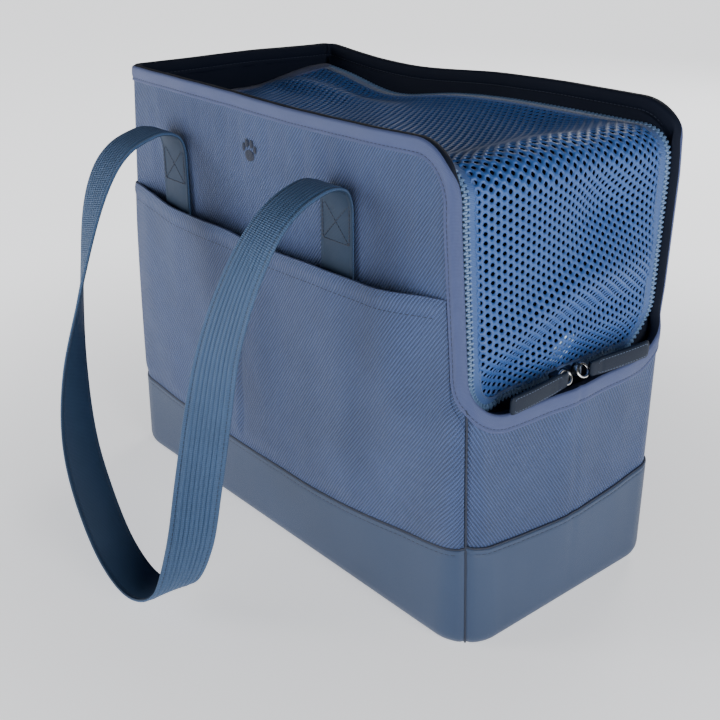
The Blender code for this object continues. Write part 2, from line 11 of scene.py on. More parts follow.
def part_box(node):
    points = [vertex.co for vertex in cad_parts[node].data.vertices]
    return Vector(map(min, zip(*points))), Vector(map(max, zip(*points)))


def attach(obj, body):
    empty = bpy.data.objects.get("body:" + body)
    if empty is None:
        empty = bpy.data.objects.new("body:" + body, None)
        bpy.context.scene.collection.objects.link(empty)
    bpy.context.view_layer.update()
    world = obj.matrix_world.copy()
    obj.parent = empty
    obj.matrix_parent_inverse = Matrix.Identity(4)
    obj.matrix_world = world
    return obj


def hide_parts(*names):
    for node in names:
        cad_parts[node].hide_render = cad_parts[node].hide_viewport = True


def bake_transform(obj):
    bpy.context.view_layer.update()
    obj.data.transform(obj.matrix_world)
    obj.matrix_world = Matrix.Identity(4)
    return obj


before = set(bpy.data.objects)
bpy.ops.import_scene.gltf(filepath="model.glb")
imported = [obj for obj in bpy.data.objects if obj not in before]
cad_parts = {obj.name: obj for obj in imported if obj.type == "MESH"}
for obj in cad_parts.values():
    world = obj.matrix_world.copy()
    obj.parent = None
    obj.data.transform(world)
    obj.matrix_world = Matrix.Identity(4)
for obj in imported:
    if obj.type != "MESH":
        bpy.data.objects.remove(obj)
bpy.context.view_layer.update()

MM = 0.001

# The bag's wall: its solids' sizes, with slightly tighter corners at the low end.
HALF_LENGTH = 196.0
HALF_WIDTH = 95.0
HEIGHT, RIM_Z = 320.0, 318.0
LEAN_LOW, LEAN_HIGH = 15.0, 32.0
RADIUS_LOW, RADIUS_HIGH, RADIUS_TOP, RADIUS_Z = 28.0, 30.0, 10.0, 200.0
SKEW, SKEW_Z, SKEW_X = 6.0, (175.0, 275.0), (60.0, 170.0)
WALL = 4.0
MOUTH_Z, MOUTH_R = 154.0, 32.0
POCKET_Z, POCKET_BULGE, POCKET_EDGE, POCKET_SEAM = 230.0, 9.0, 60.0, 1.2
POCKET_HEM_ROW = 51      # of the 56 rows up a pocket, the one that is sewn
FLAP_Z, FLAP_INSET, FLAP_BEND, HINGE_X = 303.0, 13.0, 18.0, -150.0
ZIP_HALF, ZIP_Z, ZIP_R = 84.0, 158.0, 30.0
WEBBING = 30.0
LIP_RISE = 4.0           # how far the stiff tape holds the mouth's bottom up
SIDES = ("front", "low_end", "back", "high_end")


# ---------------------------------------------------------------- shape of the bag

def ramp(value, low, high):
    return min(1.0, max(0.0, (value - low) / (high - low)))


def smooth(value, low, high):
    t = ramp(value, low, high)
    return t * t * (3.0 - 2.0 * t)


def bump(value, middle, width):
    """Bell curve of height 1."""
    return math.exp(-(((value - middle) / width) ** 2))


def spread(start, stop, count):
    """Evenly spaced numbers, both ends included."""
    return [start + (stop - start) * i / (count - 1) for i in range(count)]


def round_angles(count):
    """Evenly spaced angles of a full turn, the last one left out because it meets the first."""
    return spread(0.0, 2 * math.pi, count + 1)[:-1]


def oval(half_width, half_height, count):
    return [(half_width * math.cos(a), half_height * math.sin(a)) for a in round_angles(count)]


def settle(p):
    """Cloth at rest: the low end's top racks, and the back rim sags towards the high end."""
    amount = SKEW * ramp(p.z, *SKEW_Z) * ramp(p.x, *SKEW_X)
    side = max(-1.0, min(1.0, p.y / HALF_WIDTH))
    up = smooth(p.z, 150.0, 315.0)
    sag = 8.0 * smooth(p.y, 0.0, 80.0) * bump(p.x, -65.0, 80.0)
    sag += 2.0 * smooth(-p.y, 0.0, 80.0) * bump(p.x, 40.0, 90.0)
    rise = LIP_RISE * smooth(p.x, 150.0, 175.0) * bump(p.z, 158.0, 20.0)
    return Vector((p.x + amount * side, p.y, p.z - sag * up + rise))


def corner(index, z):
    index %= 4
    low = index in (1, 2)
    start, lean = (RADIUS_LOW, LEAN_LOW) if low else (RADIUS_HIGH, LEAN_HIGH)
    radius = start + (RADIUS_TOP - start) * ramp(z, 0.0, RADIUS_Z)
    reach = HALF_LENGTH - lean * z / HEIGHT
    x = (reach - radius) * (1.0 if low else -1.0)
    y = (HALF_WIDTH - radius) * (-1.0 if index in (0, 1) else 1.0)
    return x, y, radius


def side_lengths(side, z):
    x0, y0, r0 = corner(side, z)
    x1, y1, r1 = corner(side + 1, z)
    return r0 * math.pi / 4, abs(x1 - x0) + abs(y1 - y0), r1 * math.pi / 4


def plain_wall(side, u, z, d):
    """Point on a side; u is 0 to 1 and 2 to 3 round the half corners, 1 to 2 along the straight."""
    facing = (side - 1) * math.pi / 2
    x0, y0, r0 = corner(side, z)
    x1, y1, r1 = corner(side + 1, z)
    if u < 1.0:
        a = facing - math.pi / 4 * (1.0 - u)
        return Vector((x0 + (r0 + d) * math.cos(a), y0 + (r0 + d) * math.sin(a), z))
    if u > 2.0:
        a = facing + math.pi / 4 * (u - 2.0)
        return Vector((x1 + (r1 + d) * math.cos(a), y1 + (r1 + d) * math.sin(a), z))
    ox, oy = math.cos(facing), math.sin(facing)
    t = u - 1.0
    return Vector(((x0 + (r0 + d) * ox) * (1 - t) + (x1 + (r1 + d) * ox) * t,
                   (y0 + (r0 + d) * oy) * (1 - t) + (y1 + (r1 + d) * oy) * t, z))


def u_at(side, m, z):
    """Station at distance m from the first seam, or -m from the last one."""
    first, straight, last = side_lengths(side, z)
    if m < 0.0:
        m += first + straight + last
    if m < first:
        return m / first
    if m < first + straight:
        return 1.0 + (m - first) / straight
    return 2.0 + (m - first - straight) / last


def m_at(side, u, z):
    first, straight, last = side_lengths(side, z)
    if u < 1.0:
        return u * first
    if u <= 2.0:
        return first + (u - 1.0) * straight
    return first + straight + (u - 2.0) * last


def puff(side, u, z):
    """How far padding and slack push the cloth out; it is pinched at the seams."""
    length = sum(side_lengths(side, z))
    m = m_at(side, u, z)
    near = min(m, length - m)
    free = smooth(near, 0.0, 45.0)
    swell = (2.0 if side in (0, 2) else 1.5) * free * math.sin(math.pi * ramp(z, 0.0, HEIGHT))
    p = plain_wall(side, u, z, 0.0)
    give = noise.noise(p * 0.011 + Vector((7.0, side * 3.0, 1.0))) * 2.8 * free
    give += noise.noise(Vector((p.x + p.y, 0.0, z * 0.3)) * 0.03) * 1.2 * free
    pucker = noise.noise(Vector(((p.x + p.y) * 0.085, z * 0.010, side * 5.0)))
    give += pucker * 1.3 * smooth(z, 225.0, 275.0) * (1.0 - smooth(z, 300.0, 312.0)) * free
    if side == 1:
        give += 2.6 * ramp(60.0 - abs(p.y), 0.0, 60.0) - 0.9 * bump(p.y, 0.0, 2.4)
    return swell + give * ramp(z, 10.0, 90.0) - 1.5 * bump(near, 0.0, 2.6)


def wall(side, u, z, d):
    return settle(plain_wall(side, u, z, d + puff(side, u, z)))


def chart(seam, m, z, d):
    """Point near a corner seam: m is the distance along the wall, negative before the seam."""
    if m < 0.0:
        return wall(seam - 1, u_at(seam - 1, m, z), z, d)
    return wall(seam % 4, u_at(seam % 4, m, z), z, d)


def edge_height(side, u):
    """Fabric edge of a side at station u."""
    if side in (0, 2):
        length = sum(side_lengths(side, RIM_Z))
        m = m_at(side, u, RIM_Z)
        near = length - m if side == 0 else m
        drop = max(0.0, MOUTH_R - near)
        return RIM_Z - MOUTH_R + math.sqrt(max(0.0, MOUTH_R ** 2 - drop ** 2))
    if side == 3:
        return RIM_Z
    z = MOUTH_Z
    for _ in range(12):
        m = m_at(1, u, z)
        m = min(m, sum(side_lengths(1, z)) - m)
        drop = max(0.0, MOUTH_R - m)
        z = MOUTH_Z + MOUTH_R - math.sqrt(max(0.0, MOUTH_R ** 2 - drop ** 2))
    return z


def band_height(side, u):
    """Top of the coated band: it dips along the long sides and rises to the low-end seams."""
    p = plain_wall(side, u, 66.0, 0.0)
    if side in (0, 2):
        return 57.0 + (18.0 * (p.x / 190.0) ** 2 if p.x > 0.0 else 9.0 * (p.x / 180.0) ** 2)
    if side == 1:
        return 69.0 + 6.0 * (p.y / 85.0) ** 2
    return 66.0


# ---------------------------------------------------------------- materials

def node(tree, kind, *inputs, **settings):
    """Adds a node; an input is a socket to link, a number or None to leave."""
    made = tree.nodes.new(kind)
    for key, value in settings.items():
        setattr(made, key, value)
    for index, value in enumerate(inputs):
        if value is None:
            continue
        if isinstance(value, bpy.types.NodeSocket):
            tree.links.new(value, made.inputs[index])
        else:
            made.inputs[index].default_value = value
    return made


def maths(tree, operation, *inputs):
    return node(tree, "ShaderNodeMath", *inputs, operation=operation).outputs[0]


def cloth_axes(tree):
    """Distances along and across the cloth, in millimetres, from the mesh's own attribute."""
    at = node(tree, "ShaderNodeAttribute", attribute_name="cloth")
    split = node(tree, "ShaderNodeSeparateXYZ", at.outputs["Vector"])
    return split.outputs[0], split.outputs[1]


def wave(tree, along, across, pitch, angle):
    """Sine of a set of lines at an angle, from 0 to 1."""
    a = maths(tree, "MULTIPLY", along, math.cos(angle) * 2 * math.pi / pitch)
    b = maths(tree, "MULTIPLY", across, math.sin(angle) * 2 * math.pi / pitch)
    s = maths(tree, "SINE", maths(tree, "ADD", a, b))
    return maths(tree, "MULTIPLY_ADD", s, 0.5, 0.5)


def blotches(tree, scale, detail=3.0):
    where = node(tree, "ShaderNodeTexCoord").outputs["Object"]
    return node(tree, "ShaderNodeTexNoise", where, None, scale, detail, 0.6).outputs[0]


def shader(name, rough, sheen=0.0, metal=0.0, specular=0.5):
    mat = bpy.data.materials.new(name)
    mat.use_nodes = True
    bsdf = mat.node_tree.nodes["Principled BSDF"]
    bsdf.inputs["Roughness"].default_value = rough
    bsdf.inputs["Metallic"].default_value = metal
    bsdf.inputs["Sheen Weight"].default_value = sheen
    bsdf.inputs["Sheen Roughness"].default_value = 0.4
    bsdf.inputs["Specular IOR Level"].default_value = specular
    return mat, mat.node_tree, bsdf


def finish_shader(tree, bsdf, colour, contrast, height, tone_and_relief_shade, depth, rough):
    """Colour between two tones by a blend that each material builds partly from its relief, so low places
    carry painted shade and high ones painted highlight; bump of a real depth in metres from height.
    """
    tone = node(tree, "ShaderNodeMix", tone_and_relief_shade, data_type="RGBA")
    tone.inputs[6].default_value = (*shade(colour, 1.0 - contrast), 1.0)
    tone.inputs[7].default_value = (*shade(colour, 1.0 + contrast), 1.0)
    tree.links.new(tone.outputs[2], bsdf.inputs["Base Color"])
    relief = node(tree, "ShaderNodeBump")
    relief.inputs["Strength"].default_value = 1.0
    relief.inputs["Distance"].default_value = depth
    tree.links.new(height, relief.inputs["Height"])
    tree.links.new(relief.outputs[0], bsdf.inputs["Normal"])
    gloss = node(tree, "ShaderNodeMapRange", tone_and_relief_shade, 0.0, 1.0, *rough)
    tree.links.new(gloss.outputs[0], bsdf.inputs["Roughness"])


def shade(colour, factor):
    return tuple(min(1.0, c * factor) for c in colour)


def ribbed_twill(name, colour, pitch, angle, depth, contrast=0.45, rough=0.62, sheen=0.35):
    """Diagonal cords, each one rope-like, with fine yarn and uneven dye; half the tone follows the cords,
    painted shade in their grooves and painted highlight on their crests.
    """
    mat, tree, bsdf = shader(name, rough, sheen)
    along, across = cloth_axes(tree)
    cords = wave(tree, along, across, pitch, angle)
    yarn = wave(tree, along, across, pitch * 0.62, angle + math.radians(68.0))
    height = maths(tree, "MULTIPLY_ADD", yarn, 0.35, cords)
    uneven = blotches(tree, 14.0)
    tone_and_relief_shade = maths(tree, "MULTIPLY_ADD", uneven, 0.5, maths(tree, "MULTIPLY", height, 0.5))
    finish_shader(tree, bsdf, colour, contrast, height, tone_and_relief_shade, depth, (rough + 0.1, rough - 0.12))
    return mat


def plain_weave(name, colour, pitch, depth, contrast=0.18, rough=0.55, sheen=0.1, specular=0.5):
    """Fine over-and-under weave with a soft grain."""
    mat, tree, bsdf = shader(name, rough, sheen, specular=specular)
    along, across = cloth_axes(tree)
    warp = wave(tree, along, across, pitch, 0.0)
    weft = wave(tree, along, across, pitch, math.pi / 2)
    weave = maths(tree, "MULTIPLY", maths(tree, "SUBTRACT", warp, 0.5), maths(tree, "SUBTRACT", weft, 0.5))
    speck = blotches(tree, 900.0, 2.0)
    height = maths(tree, "MULTIPLY_ADD", speck, 0.5, maths(tree, "MULTIPLY", weave, 2.0))
    # Tone: random blotches, with painted shade in the weave's low places.
    tone_and_relief_shade = maths(tree, "MULTIPLY_ADD", height, 0.35, maths(tree, "MULTIPLY", blotches(tree, 9.0), 0.7))
    finish_shader(tree, bsdf, colour, contrast, height, tone_and_relief_shade, depth, (rough + 0.07, rough - 0.07))
    return mat


def cross_rib(name, colour, pitch, depth, contrast=0.3, rough=0.6, sheen=0.25, specular=0.5):
    """Narrow tape and webbing: ribs run across the length, with a finer yarn along it."""
    mat, tree, bsdf = shader(name, rough, sheen, specular=specular)
    along, across = cloth_axes(tree)
    ribs = wave(tree, along, across, pitch, 0.0)
    yarn = wave(tree, along, across, pitch * 0.7, math.pi / 2)
    height = maths(tree, "MULTIPLY_ADD", yarn, 0.5, ribs)
    # Tone: random blotches, with painted shade between the ribs.
    tone_and_relief_shade = maths(tree, "MULTIPLY_ADD", blotches(tree, 30.0), 0.45, maths(tree, "MULTIPLY", height, 0.4))
    finish_shader(tree, bsdf, colour, contrast, height, tone_and_relief_shade, depth, (rough + 0.08, rough - 0.08))
    return mat


def grainy(name, colour, scale, depth, contrast=0.2, rough=0.5, sheen=0.0, metal=0.0, specular=0.5):
    """Leather grain, moulded plastic or brushed metal, by the scale of its noise."""
    mat, tree, bsdf = shader(name, rough, sheen, metal, specular)
    fine = blotches(tree, scale, 4.0)
    # Tone: the fine noise that also makes the bump, so its pits are painted darker, over a coarser random
    # tone.
    tone_and_relief_shade = maths(tree, "MULTIPLY_ADD", fine, 0.5, maths(tree, "MULTIPLY", blotches(tree, scale / 12), 0.5))
    finish_shader(tree, bsdf, colour, contrast, fine, tone_and_relief_shade, depth,
                  (min(1.0, rough + 0.1), max(0.05, rough - 0.1)))
    return mat


TWILL = (0.031, 0.058, 0.148)
COATED = (0.024, 0.049, 0.110)
TAPE = (0.046, 0.068, 0.175)
ZIP_BLUE = (0.040, 0.095, 0.260)
MESH_BLUE = (0.021, 0.085, 0.285)
WEB_BLUE = (0.034, 0.082, 0.175)
MATERIALS = {
    "twill": ribbed_twill("twill", TWILL, 1.9, math.radians(-33.0), 0.00050, contrast=0.80, sheen=0.12),
    "coated": plain_weave("coated_weave", COATED, 0.9, 0.00008, rough=0.5),
    "lining": plain_weave("lining_weave", (0.004, 0.007, 0.018), 0.8, 0.00006, rough=0.7, sheen=0.0,
                          specular=0.15),
    "tape": cross_rib("binding_ribs", TAPE, 0.8, 0.00010, contrast=0.22, sheen=0.12),
    "zip_tape": cross_rib("zip_tape_ribs", ZIP_BLUE, 1.0, 0.00008, contrast=0.15),
    "mesh": grainy("mesh_yarn", MESH_BLUE, 700.0, 0.0001, rough=0.45, sheen=0.08),
    "webbing": cross_rib("webbing_ribs", WEB_BLUE, 1.3, 0.00022, contrast=0.35, sheen=0.08),
    "thread": grainy("thread", (0.075, 0.110, 0.190), 1500.0, 0.00005, rough=0.6, sheen=0.3),
    "thread_dark": grainy("thread_dark", (0.010, 0.017, 0.040), 1500.0, 0.00005, rough=0.6, sheen=0.05),
    "teeth": grainy("moulded_teeth", (0.110, 0.190, 0.340), 500.0, 0.00003, contrast=0.1, rough=0.35),
    "steel": grainy("polished_steel", (0.72, 0.72, 0.71), 300.0, 0.00001, contrast=0.06, rough=0.2,
                    metal=1.0),
    "tab": grainy("tab_leather", (0.006, 0.012, 0.026), 1100.0, 0.00012, rough=0.55, specular=0.2),
    "gunmetal": grainy("gunmetal", (0.060, 0.070, 0.090), 300.0, 0.00001, contrast=0.1, rough=0.3,
                       metal=1.0),
    # The webbing's smooth face: its own finer weave, its tone darkened as painted shade for the loop's
    # shaded inner side.
    "webbing_smooth_painted_shade": cross_rib("webbing_smooth_painted_shade", (0.014, 0.032, 0.066), 0.9, 0.00006, sheen=0.0,
                              specular=0.25),
    "fleece": grainy("fleece", (0.20, 0.23, 0.28), 420.0, 0.0012, contrast=0.35, rough=0.95, sheen=0.6),
    "board": grainy("board", (0.03, 0.035, 0.05), 200.0, 0.0001, rough=0.7),
    "stud": grainy("pale_patch", (0.70, 0.86, 1.0), 300.0, 0.00003, contrast=0.08, rough=0.4),
}


# ---------------------------------------------------------------- meshes

def add(name, data):
    obj = bpy.data.objects.new(name, data)
    bpy.context.scene.collection.objects.link(obj)
    return obj


def make(name, points, faces, material, cloth=None):
    """Object from millimetre points; cloth holds each point's place on the cut cloth, in mm."""
    mesh = bpy.data.meshes.new(name)
    mesh.from_pydata([tuple(c * MM for c in p) for p in points], [], faces)
    mesh.validate()
    if cloth is not None:
        layer = mesh.attributes.new("cloth", "FLOAT_VECTOR", "POINT")
        layer.data.foreach_set("vector", [c for s, t in cloth for c in (s, t, 0.0)])
    mesh.polygons.foreach_set("use_smooth", [True] * len(mesh.polygons))
    mesh.materials.append(MATERIALS[material])
    return add(name, mesh)


def ring_faces(rings, count, closed=False):
    """Faces between rings of count points, in order, with a cap at both ends unless they close up."""
    faces = []
    for i in range(rings if closed else rings - 1):
        a, b = i * count, (i + 1) % rings * count
        for j in range(count):
            k = (j + 1) % count
            faces.append((a + j, a + k, b + k, b + j))
    if not closed:
        last = (rings - 1) * count
        faces += [tuple(reversed(range(count))), tuple(range(last, last + count))]
    return faces


def slab(name, grid, material):
    """Closed sheet; each entry of the grid holds its outer point, inner point and mark on the cloth."""
    rows, cols = len(grid), len(grid[0])
    outer, inner, cloth = zip(*(entry for row in grid for entry in row))
    points, marks = outer + inner, cloth * 2
    back = rows * cols
    faces = []
    for i in range(rows - 1):
        for j in range(cols - 1):
            a = i * cols + j
            faces.append((a, a + 1, a + cols + 1, a + cols))
            faces.append((back + a + cols, back + a + cols + 1, back + a + 1, back + a))
    edge = list(range(cols)) + [i * cols + cols - 1 for i in range(1, rows)]
    edge += [(rows - 1) * cols + j for j in range(cols - 2, -1, -1)]
    edge += [i * cols for i in range(rows - 2, 0, -1)]
    for a, b in zip(edge, edge[1:] + edge[:1]):
        faces.append((b, a, back + a, back + b))
    obj = make(name, points, faces, material, marks)
    crease_rim(obj)
    return obj


def crease_rim(obj):
    obj.data.set_sharp_from_angle(angle=math.radians(50.0))


def sweep(name, frames, profile, material, closed=False):
    """Tube of a closed profile; frames hold a centre and the two axes of the section."""
    points, marks = [], []
    length = 0.0
    across = [0.0]
    for (a0, b0), (a1, b1) in zip(profile, profile[1:]):
        across.append(across[-1] + math.hypot(a1 - a0, b1 - b0))
    for i, (centre, axis_a, axis_b) in enumerate(frames):
        if i:
            length += (centre - frames[i - 1][0]).length
        for (a, b), t in zip(profile, across):
            points.append(centre + axis_a * a + axis_b * b)
            marks.append((length, t))
    obj = make(name, points, ring_faces(len(frames), len(profile), closed), material, marks)
    crease_rim(obj)
    return obj


def resample(line, step):
    """Points an even distance apart along a polyline of tuples of vectors; the first is the path."""
    lengths = [0.0]
    for a, b in zip(line, line[1:]):
        lengths.append(lengths[-1] + (b[0] - a[0]).length)
    count = max(2, round(lengths[-1] / step))
    out, k = [], 0
    for i in range(count + 1):
        want = lengths[-1] * i / count
        while k < len(line) - 2 and lengths[k + 1] < want:
            k += 1
        t = (want - lengths[k]) / max(1e-9, lengths[k + 1] - lengths[k])
        out.append(tuple(a.lerp(b, min(1.0, t)) for a, b in zip(line[k], line[k + 1])))
    return out


def stitches(name, lines, material, pitch=3.6, long=2.7, wide=0.55, high=0.32):
    """Rows of thread: each line is a list of (point, outward normal); one little bar per stitch."""
    points, faces = [], []
    section = [(-0.5, 0.0), (-0.35, 0.8), (0.0, 1.0), (0.35, 0.8), (0.5, 0.0)]
    for line in lines:
        places = resample(line, pitch)
        for (p0, n0), (p1, n1) in zip(places, places[1:]):
            way = p1 - p0
            if way.length < 1e-6:
                continue
            way.normalize()
            up = ((n0 + n1) / 2).normalized()
            side = way.cross(up).normalized()
            middle = (p0 + p1) / 2
            base = len(points)
            for along, scale in ((-0.5, 0.35), (-0.32, 1.0), (0.32, 1.0), (0.5, 0.35)):
                for a, b in section:
                    points.append(middle + way * (long * along) + side * (wide * a * scale)
                                  + up * (high * b * scale - 0.12))
            for i in range(3):
                for j in range(4):
                    a = base + i * 5 + j
                    faces.append((a, a + 1, a + 6, a + 5))
            faces.append((base, base + 1, base + 2, base + 3, base + 4))
            faces.append((base + 19, base + 18, base + 17, base + 16, base + 15))
    return make(name, points, faces, material)


def place(obj, body, slot, *nodes):
    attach(obj, body)
    if nodes:
        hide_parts(*nodes)


def sew(name, lines, body, slot, material="thread_dark", **sizes):
    place(stitches(name, lines, material, **sizes), body, slot)


# ---------------------------------------------------------------- walls

def side_stations(side):
    """Stations of a side, closer together round its half corners."""
    count = 96 if side in (0, 2) else 48
    return spread(0.004, 1.0, 13)[:-1] + spread(1.0, 2.0, count) + spread(2.0, 2.996, 13)[1:]


def cloth_mark(side, u, z):
    """Place on the cut cloth; the twill runs the other way on the two ends."""
    m = m_at(side, u, z) + 37.0 * side
    return (m if side in (0, 2) else -m, z)


def outward(side, u):
    """Level direction straight out of a side at station u."""
    facing = (side - 1) * math.pi / 2
    turn = facing - math.pi / 4 * max(0.0, 1.0 - u) + math.pi / 4 * max(0.0, u - 2.0)
    return Vector((math.cos(turn), math.sin(turn), 0.0))


def build_panel(side, label):
    rows = 62 if side != 1 else 36
    grid = [[(wall(side, u, z, 0.0), wall(side, u, z, -WALL), cloth_mark(side, u, z))
             for z in spread(40.0, edge_height(side, u), rows)] for u in side_stations(side)]
    panel = slab(f"padded_panel_{label}", grid, "twill")
    place(panel, "bag", "twill", f"panel_{label}")


def band_section(top):
    """Distance off the wall and height: under the base, round its edge, up the wall, over the hem."""
    under, turn_out, turn_up, steps = -9.5, 10.9, 10.4, 6
    section = [(-17.0, 0.9), (under, 0.7)]
    for step in range(1, steps + 1):
        t = math.pi / 2 * step / steps
        section.append((under + turn_out * math.sin(t), 0.7 + turn_up * (1.0 - math.cos(t))))
    section += [(1.4, z) for z in spread(14.0, top - 5.4, 12)]
    return section + [(1.35, top - 4.2), (1.0, top - 3.4), (1.35, top - 2.6), (1.5, top - 1.2),
                      (1.3, top - 0.4), (0.8, top)]


def build_band(side, label):
    """Coated band, its sewn line, and a dark cord along its top that is painted shadow under the band's
    edge.
    """
    grid, row, frames = [], [], []
    for u in side_stations(side):
        top = band_height(side, u)
        section = band_section(top)
        entries, run = [], 0.0
        for k, (d, z) in enumerate(section):
            if k:
                run += math.hypot(d - section[k - 1][0], z - section[k - 1][1])
            lift = 0.0 if z > 12.0 else 0.8 * (1.0 - ramp(z, 0.0, 12.0))
            entries.append((wall(side, u, z, d), wall(side, u, z + lift, d - 1.1 if d > -9.0 else d),
                            (m_at(side, u, 60.0), run)))
        grid.append(entries)
        row.append((wall(side, u, top - 3.4, 1.1), outward(side, u)))
        frames.append((wall(side, u, top + 0.5, 0.5), Vector((0.0, 0.0, 1.0)), outward(side, u)))
    band = slab(f"coated_band_{label}", grid, "coated")
    place(band, "bag", "coated_band", f"band_{label}")
    sew(f"band_stitching_{label}", [row[1:-1]], "bag", "coated_band", pitch=4.2, long=3.2)
    # A dark cord where the band's edge casts only shade: painted shadow.
    cord = sweep(f"band_edge_painted_shadow_{label}", frames, oval(0.8, 0.7, 8), "thread_dark")
    place(cord, "bag", "coated_band")


def build_walls():
    for side, label in enumerate(SIDES):
        build_panel(side, label)
        build_band(side, label)


def build_lining():
    for side, label in enumerate(SIDES):
        grid = []
        for u in side_stations(side)[::2]:
            top = edge_height(side, u) - 8.0
            entries = []
            for z in spread(8.0, top, 40):
                p = plain_wall(side, u, z, 0.0)
                give = 1.3 * abs(noise.noise(Vector((p.x + p.y, p.y - p.x, z * 0.6)) * 0.035))
                give *= smooth(z, 20.0, 60.0) * smooth(top - z, 0.0, 25.0)
                faces = (wall(side, u, z, -WALL - depth - give) for depth in (0.5, 1.1))
                entries.append((*faces, cloth_mark(side, u, z)))
            grid.append(entries)
        cloth = slab(f"lining_cloth_{label}", grid, "lining")
        place(cloth, "bag", "lining", f"lining_{label}")


def build_welts():
    for label, seam in (("high_front", 0), ("low_front", 1), ("low_back", 2), ("high_back", 3)):
        top = MOUTH_Z + 22.0 if seam in (1, 2) else RIM_Z - 6.0
        frames = []
        for z in spread(3.0, top, 70):
            side = (seam - 1) % 4
            out = outward(side, 3.0)
            lift = 1.3 if z < band_height(side, 3.0) else 0.5
            away = -6.0 * (1.0 - ramp(z, 0.0, 10.0)) ** 2
            frames.append((wall(side, 3.0, z, lift + away), Vector((-out.y, out.x, 0.0)), out))
        welt = sweep(f"seam_piping_{label}", frames, oval(0.75, 0.7, 12), "thread_dark")
        place(welt, "bag", "twill", f"corner_welt_{label}")


def pocket_point(c, t):
    """Distances of a slip pocket's two faces out of the wall, then the station, and the cloth mark."""
    mouth = POCKET_Z + 1.5 - 4.0 * math.sin(math.pi * c) + 0.9 * math.sin(c * 21.0)
    base = 52.0 + 14.0 * (2.0 * c - 1.0) ** 2 * (1.0 if c > 0.5 else 0.4)
    z = base + (mouth - base) * t
    length = sum(side_lengths(0, z))
    end = POCKET_SEAM + 9.0 * smooth(z, 150.0, 172.0)
    m = POCKET_SEAM + (length - end - POCKET_SEAM) * c
    near = min(m, length - end - m + POCKET_SEAM)
    free = smooth(near, 0.0, 9.0)
    tucked = smooth(z, base + 8.0, base + 22.0) * free
    stand = POCKET_BULGE * smooth(near, 0.0, POCKET_EDGE) * ramp(z, 66.0, mouth) ** 1.2
    stand += 2.4 * noise.noise(Vector((m * 0.026, z * 0.006, 4.0))) * smooth(near, 0.0, 40.0) * tucked
    x = plain_wall(0, u_at(0, m, z), z, 0.0).x
    pleat = x + 37.0 - 0.16 * (z - 61.0)
    fade = tucked * (1.0 - smooth(z, 150.0, 185.0))
    stand += fade * (1.3 * bump(pleat, -7.0, 5.0) - 1.5 * bump(pleat, 0.0, 2.6))
    under = 0.15 + 0.35 * tucked + stand
    thick = 0.3 + 1.2 * tucked + 0.8 * smooth(t, 0.945, 0.960) * free - 0.8 * smooth(t, 0.985, 1.0) * free
    return under, under + thick, u_at(0, m, z), (m, z)


def build_pockets():
    """Slip pockets: slack panels with a turned hem, standing off the wall at the mouth."""
    for side, label in ((0, "front"), (2, "back")):
        grid, hem_line = [], []
        for c in spread(0.0, 1.0, 130):
            entries = []
            for t in spread(0.0, 1.0, 56):
                under, over, u, mark = pocket_point(c, t)
                station = u if side == 0 else 3.0 - u
                entries.append((*(wall(side, station, mark[1], d) for d in (over, under)), mark))
            grid.append(entries)
            hem_line.append((entries[POCKET_HEM_ROW][0], outward(side, 1.5)))
        if side == 2:
            grid.reverse()
            hem_line.reverse()
        pocket = slab(f"slip_pocket_{label}", grid, "twill")
        place(pocket, "bag", "twill", f"pocket_{label}")
        sew(f"pocket_stitching_{label}", [hem_line[3:-3]], "bag", "twill", pitch=4.0, long=3.0)


# ---------------------------------------------------------------- bindings

# Across the folded tape: from the fabric's edge (away is positive), and out of the wall.
BINDING_PROFILE = (
    (-9.4, 0.35), (-9.2, 0.95), (-8.7, 1.15), (-8.0, 1.1), (-7.2, 0.65), (-6.4, 1.1), (-5.0, 1.35),
    (-3.0, 1.45), (-0.6, 1.35), (0.6, 1.0), (1.25, 0.1), (1.4, -2.0), (1.25, -4.1), (0.6, -5.0),
    (-0.6, -5.35), (-3.0, -5.4), (-5.0, -5.4), (-6.4, -5.3), (-7.2, -4.9), (-8.0, -5.3),
    (-9.4, -5.3), (-10.8, -5.1), (-11.0, -4.7), (-6.0, -4.45), (0.4, -4.3), (0.5, 0.2), (-6.0, 0.2),
)
BINDING_LINED = range(10, 25)       # the profile's part that is faced with lining
BINDING_SEAM = -7.2
BINDING_FACES = (0.72, -4.95)       # how far out the sewn lines lie, outside and inside the wall


def binding(name, path, *nodes):
    """Tape folded over the fabric's edge; the path holds seam, m, z and the way off the fabric."""
    count = len(BINDING_PROFILE)
    points, marks, faces, lined = [], [], [], []
    threads = ([], [])
    run = 0.0
    for i, (seam, m, z, turn) in enumerate(path):
        da, dz = math.cos(turn), math.sin(turn)
        row = [chart(seam, m + a * da, z + a * dz, d) for a, d in BINDING_PROFILE]
        if i:
            run += (row[8] - points[-count + 8]).length
        points += row
        marks += [(run, a + d) for a, d in BINDING_PROFILE]
        for line, depth in zip(threads, BINDING_FACES):
            at = (seam, m + BINDING_SEAM * da, z + BINDING_SEAM * dz)
            base = chart(*at, depth)
            line.append((base, (base - chart(*at, -2.0)).normalized()))
    for i in range(len(path) - 1):
        a, b = i * count, (i + 1) * count
        for j in range(count):
            k = (j + 1) % count
            faces.append((a + j, b + j, b + k, a + k))
            lined.append(1 if j in BINDING_LINED else 0)
    last = (len(path) - 1) * count
    faces += [tuple(range(count)), tuple(reversed(range(last, last + count)))]
    lined += [0, 0]
    obj = make(name, points, faces, "tape", marks)
    obj.data.materials.append(MATERIALS["lining"])
    obj.data.polygons.foreach_set("material_index", lined)
    crease_rim(obj)
    place(obj, "bag", "binding_tape", *nodes)
    for ending, line in zip(("_stitching", "_inner_stitching"), threads):
        sew(name + ending, [line], "bag", "binding_tape", pitch=3.2, long=2.3)


